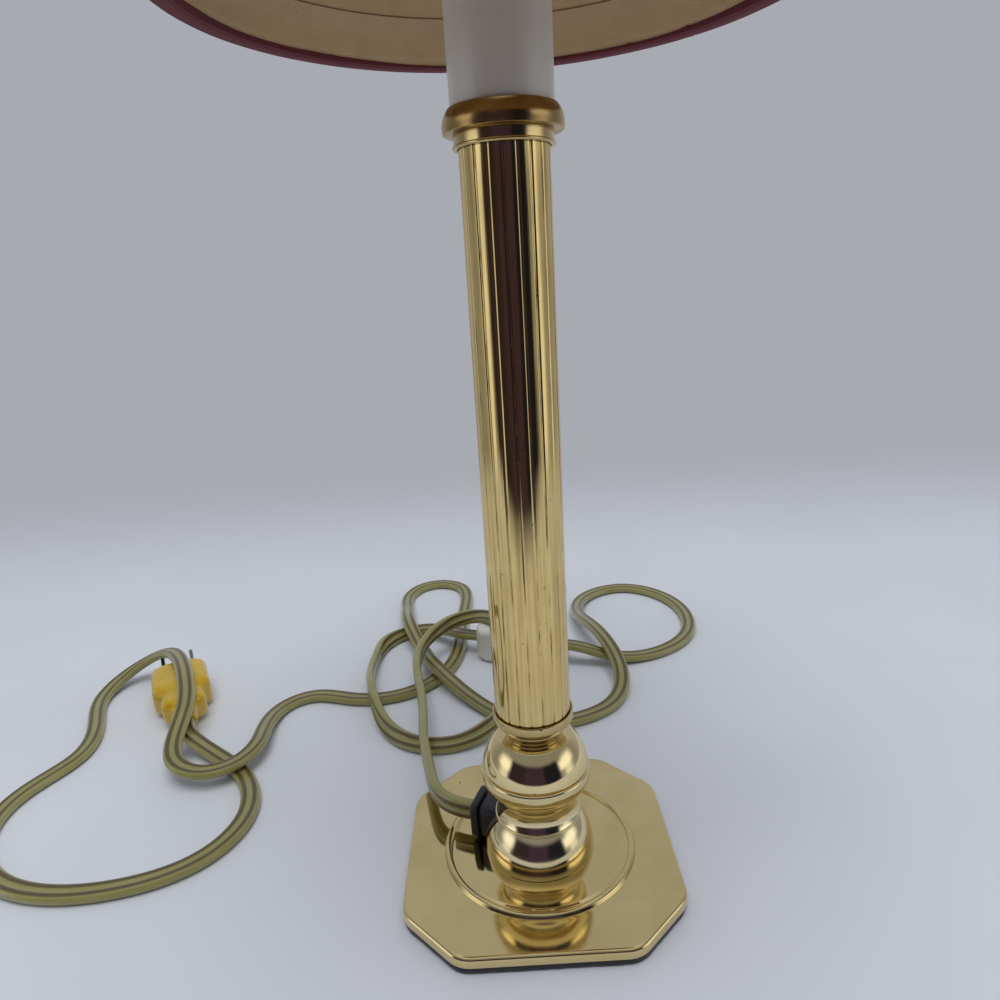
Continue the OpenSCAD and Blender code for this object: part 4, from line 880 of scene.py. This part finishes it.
def smooth_route(route):
    """A natural cubic through the points, in even steps: positions, directions, rolls and lengths run."""
    given = np.array(route, float)
    chord = np.linalg.norm(np.diff(given[:, :3], axis=0), axis=1)
    knots = np.concatenate([[0], np.cumsum(np.sqrt(chord))])
    gap = np.diff(knots)
    count = len(knots)
    system = np.eye(count)
    pull = np.zeros((count, 3))
    for i in range(1, count - 1):
        system[i, i - 1:i + 2] = gap[i - 1], 2 * (gap[i - 1] + gap[i]), gap[i]
        after = (given[i + 1, :3] - given[i, :3]) / gap[i]
        before = (given[i, :3] - given[i - 1, :3]) / gap[i - 1]
        pull[i] = 6 * (after - before)
    bend = np.linalg.solve(system, pull)
    fine = np.linspace(0, knots[-1], fine_steps * count)
    span = np.clip(np.searchsorted(knots, fine, side="right") - 1, 0, count - 2)
    h = gap[span][:, None]
    a = (knots[span + 1] - fine)[:, None] / h
    b = 1 - a
    line = a * given[span, :3] + b * given[span + 1, :3]
    line += ((a ** 3 - a) * bend[span] + (b ** 3 - b) * bend[span + 1]) * h ** 2 / 6
    run = np.concatenate([[0], np.cumsum(np.linalg.norm(np.diff(line, axis=0), axis=1))])
    stops = np.linspace(0, run[-1], int(run[-1] / cord_step) + 1)
    line = np.stack([np.interp(stops, run, line[:, k]) for k in range(3)], axis=1)
    rolls = np.interp(np.interp(stops, run, fine), knots, given[:, 3])
    return line, np.gradient(line, axis=0), np.radians(rolls), stops


def twin_section():
    """Outline of the flat cord as (across, thick) points: two round lobes with a groove between them."""
    lobe = [math.radians(-lobe_turn + 2 * lobe_turn * i / lobe_steps) for i in range(lobe_steps + 1)]
    right_lobe = [(lobe_off + lobe_r * math.cos(a), lobe_r * math.sin(a)) for a in lobe]
    left_lobe = [(-u, -v) for u, v in right_lobe]
    return right_lobe + [(0.0, groove_half_t)] + left_lobe + [(0.0, -groove_half_t)]


def twin_cord(name, route, node):
    """A flat twin cord along its route, with its centreline."""
    line, way, rolls, stops = smooth_route(route)
    section = twin_section()
    rings = []
    path = []
    for at, heading, turn in zip(line, way, rolls):
        heading = Vector(heading).normalized()
        side = heading.cross(Vector((0, 0, 1))).normalized()
        top = side.cross(heading)
        ring = [Vector(at) + side * (u * math.cos(turn) - v * math.sin(turn))
                + top * (u * math.sin(turn) + v * math.cos(turn)) for u, v in section]
        sunk = max(0.0, floor_gap - min(p.z for p in ring))
        rings.append([p + Vector((0, 0, sunk)) for p in ring])
        path.append(Vector(at) + Vector((0, 0, sunk)))
    count = len(section)
    points = [p for ring in rings for p in ring]
    faces = [(i * count + k, i * count + (k + 1) % count, (i + 1) * count + (k + 1) % count,
              (i + 1) * count + k) for i in range(len(rings) - 1) for k in range(count)]
    faces += [tuple(range(count)), tuple(range(len(points) - count, len(points)))]
    marks = {"across": [u for _ in rings for u, _ in section], "along": [s for s in stops for _ in section]}
    made = piece(name, points, faces, pvc, "lamp", "cord", node, sharp=60, marks=marks)
    return made, path, stops[-1]


first_cord, path, length = twin_cord("cord_to_switch_twin", to_switch, "cord_to_switch")

# Plug
# Clear amber PVC moulded round the cord's end: a tapered tail, a waisted grip and a broad body, with two
# flat blades.

# Moulded PVC: deep yellow and glossy, lit from inside, with slow swirls
amber, tree, _, swirl, tone = mottled("moulded_amber_pvc", 9, 3.0, "#E2C31C", "#C59C12")
gloss = add(tree, "MapRange", {"Value": swirl, "To Min": 0.15, "To Max": 0.3}).outputs[0]
close_finish(tree, {"Base Color": tone, "Roughness": gloss, "IOR": 1.53, "Subsurface Weight": 0.6,
                    "Subsurface Radius": (6 * MM, 3.5 * MM, 0.6 * MM), "Subsurface Scale": 1.0,
                    "Coat Weight": 0.3, "Coat Roughness": 0.12})
# Tinned brass: a dull grey shine
tinned = polished_brass("tinned_blade_brass", "#8F8E8A", "#6F6E6B", 0.3)
plug_at = Vector((-141.5, 79, 7.5))
plug_turn = math.radians(115)
plug_way = Vector((math.cos(plug_turn), math.sin(plug_turn), 0))
plug_side = Vector((-plug_way.y, plug_way.x, 0))
plug_sides = 64
# Each step is a distance along the plug, half a width, half a thickness and a squareness
plug_steps = [(-1.5, 3.9, 2.2, 2.2), (-1.0, 4.3, 2.6, 2.2), (0.0, 4.4, 2.9, 2.2), (3.0, 4.5, 3.4, 2.3),
              (6.0, 4.8, 4.2, 2.4), (8.0, 5.6, 5.0, 2.6), (9.2, 7.6, 5.7, 3.2), (10.2, 8.6, 6.0, 3.6),
              (12.0, 9.0, 6.0, 3.8), (16.0, 8.9, 6.0, 3.8), (18.2, 8.6, 6.0, 3.6), (19.4, 9.2, 6.3, 3.6),
              (21.0, 11.2, 7.2, 4.0), (22.4, 11.9, 7.5, 4.4), (24.0, 12.0, 7.5, 4.6), (39.0, 11.9, 7.5, 4.6),
              (41.5, 11.3, 7.4, 4.6), (43.2, 10.2, 7.0, 4.4), (43.8, 9.6, 6.6, 4.4), (44.0, 8.9, 6.1, 4.4)]
rings = []
for run, half_w, half_t, square in plug_steps:
    middle = plug_at + plug_way * run
    rings.append([middle + plug_side * y + Vector((0, 0, z))
                  for y, z in rounded_ring(half_w, half_t, square, plug_sides)])
points, faces = skin(rings)
# The ends are closed by caps in place of the skin's last join
faces = faces[:-plug_sides] + [tuple(range(plug_sides)), tuple(range(len(points) - plug_sides, len(points)))]
plug = piece("plug_body_moulded", points, faces, amber, "lamp", "plug_plastic", "plug_body", sharp=50)
dress(tinned, "plug_blades")
second_cord, path, length = twin_cord("cord_to_plug_twin", to_plug, "cord_to_plug")

# Floor
# A pale matt table top that fades out into the backdrop on every side.


def between(tree, value, rise, fall):
    """1 where a value lies between a soft rise and a soft fall, each given as its two ends, else 0."""
    up_in = add(tree, "MapRange", {"Value": value, "From Min": rise[0], "From Max": rise[1]},
                interpolation_type="SMOOTHSTEP").outputs[0]
    down_in = add(tree, "MapRange", {"Value": value, "From Min": fall[0], "From Max": fall[1], "To Min": 1.0,
                                     "To Max": 0.0}, interpolation_type="SMOOTHSTEP").outputs[0]
    return add(tree, "Math", {0: up_in, 1: down_in}, operation="MULTIPLY").outputs[0]


# Matt laminate: no gloss at all, with slow, faint clouds
table, tree = new_finish("pale_matt_table")
place = add(tree, "TexCoord").outputs["Object"]
parts = add(tree, "SeparateXYZ", {"Vector": place}).outputs
shown_wide = between(tree, parts["X"], (-0.62, -0.36), (0.36, 0.62))
shown_deep = between(tree, parts["Y"], (-0.40, -0.21), (0.22, 0.52))
shown = add(tree, "Math", {0: shown_wide, 1: shown_deep}, operation="MULTIPLY").outputs[0]
cloudy = add(tree, "TexNoise", {"Vector": place, "Scale": per_mm(90), "Detail": 2.0}).outputs["Fac"]
tone = add(tree, "Mix", {0: cloudy, 6: linear("#DCE0E8"), 7: linear("#E6E9EF")}, data_type="RGBA").outputs[2]
matt = add(tree, "BsdfDiffuse", {"Color": tone})
clear = add(tree, "BsdfTransparent")
edge = add(tree, "MixShader", {0: shown, 1: clear.outputs[0], 2: matt.outputs[0]})
add(tree, "OutputMaterial", {"Surface": edge.outputs[0]})
half = 0.7
mesh = bpy.data.meshes.new("table_top")
mesh.from_pydata([(-half, -half, 0), (half, -half, 0), (half, half, 0), (-half, half, 0)], [], [(0, 1, 2, 3)])
mesh.materials.append(table)
table_top = bpy.data.objects.new("table_top", mesh)
bpy.context.scene.collection.objects.link(table_top)

# Light
# A white light tent: soft bright walls left and right, a grey back and roof, and a dark open front.
bpy.context.scene.view_settings.view_transform = "Standard"
tent = bpy.data.worlds.new("light_tent")
tent.use_nodes = True
tree = tent.node_tree
tree.nodes.clear()
look = add(tree, "TexCoord").outputs["Generated"]
parts = add(tree, "SeparateXYZ", {"Vector": look}).outputs
ahead = add(tree, "Math", {0: parts["Y"], 1: -1.0}, operation="MULTIPLY").outputs[0]
turn = add(tree, "Math", {0: parts["X"], 1: ahead}, operation="ARCTAN2").outputs[0]


def degrees(*angles):
    """Angles in radians."""
    return [math.radians(a) for a in angles]


# How bright the walls and the roof are, in linear light
wall_soft = (0.38, 0.39, 0.41, 1)
wall_bright = (0.86, 0.88, 0.92, 1)
wall_glow = (1.2, 1.22, 1.26, 1)
roof = (0.60, 0.62, 0.66, 1)
aside = add(tree, "Math", {0: turn}, operation="ABSOLUTE").outputs[0]
beside = between(tree, aside, degrees(40, 60), degrees(82, 104))
bright_low = between(tree, parts["Z"], (-0.9, -0.3), (0.40, 0.58))
wall = add(tree, "Math", {0: beside, 1: bright_low}, operation="MULTIPLY").outputs[0]
glow = between(tree, parts["Z"], (0.08, 0.24), (0.34, 0.50))
strip = between(tree, aside, degrees(60, 68), degrees(76, 92))
wall_tone = add(tree, "Mix", {0: strip, 6: wall_soft, 7: wall_bright}, data_type="RGBA").outputs[2]
wall_tone = add(tree, "Mix", {0: glow, 6: wall_tone, 7: wall_glow}, data_type="RGBA").outputs[2]
overhead = between(tree, parts["Z"], (0.80, 0.97), (2.0, 3.0))
behind = between(tree, aside, degrees(100, 140), degrees(300, 360))
cloth = add(tree, "Mix", {0: behind, 6: linear("#8C8E94"), 7: linear("#ADAFB6")}, data_type="RGBA").outputs[2]
cloth = add(tree, "Mix", {0: overhead, 6: cloth, 7: roof}, data_type="RGBA").outputs[2]
cloth = add(tree, "Mix", {0: wall, 6: cloth, 7: wall_tone}, data_type="RGBA").outputs[2]
open_wide = between(tree, turn, degrees(-68, -56), degrees(46, 58))
open_high = between(tree, parts["Z"], (-3.0, -2.0), (0.44, 0.60))
opening = add(tree, "Math", {0: open_wide, 1: open_high}, operation="MULTIPLY").outputs[0]
middle = between(tree, turn, degrees(-30, -22), degrees(12, 20))
right_side = between(tree, turn, degrees(12, 20), degrees(90, 100))
room = add(tree, "Mix", {0: middle, 6: linear("#322A32"), 7: linear("#403249")}, data_type="RGBA").outputs[2]
room = add(tree, "Mix", {0: right_side, 6: room, 7: linear("#1E202E")}, data_type="RGBA").outputs[2]
colour = add(tree, "Mix", {0: opening, 6: cloth, 7: room}, data_type="RGBA").outputs[2]
direct = add(tree, "LightPath").outputs["Is Camera Ray"]
colour = add(tree, "Mix", {0: direct, 6: colour, 7: linear("#A8AAB1")}, data_type="RGBA").outputs[2]
shine = add(tree, "Background", {"Color": colour, "Strength": 1.0})
add(tree, "OutputWorld", {"Surface": shine.outputs[0]})
bpy.context.scene.world = tent
# A broad panel over the tent lights the table evenly. The polished brass does not show it.
panel = bpy.data.lights.new("roof_panel", "AREA")
panel.shape = "SQUARE"
panel.size = 0.9
panel.energy = 6.2
panel.color = (0.98, 0.99, 1.0)
roof_panel = bpy.data.objects.new("roof_panel", panel)
roof_panel.location = (0.0, -0.25, 1.1)
roof_panel.visible_glossy = False
bpy.context.scene.collection.objects.link(roof_panel)
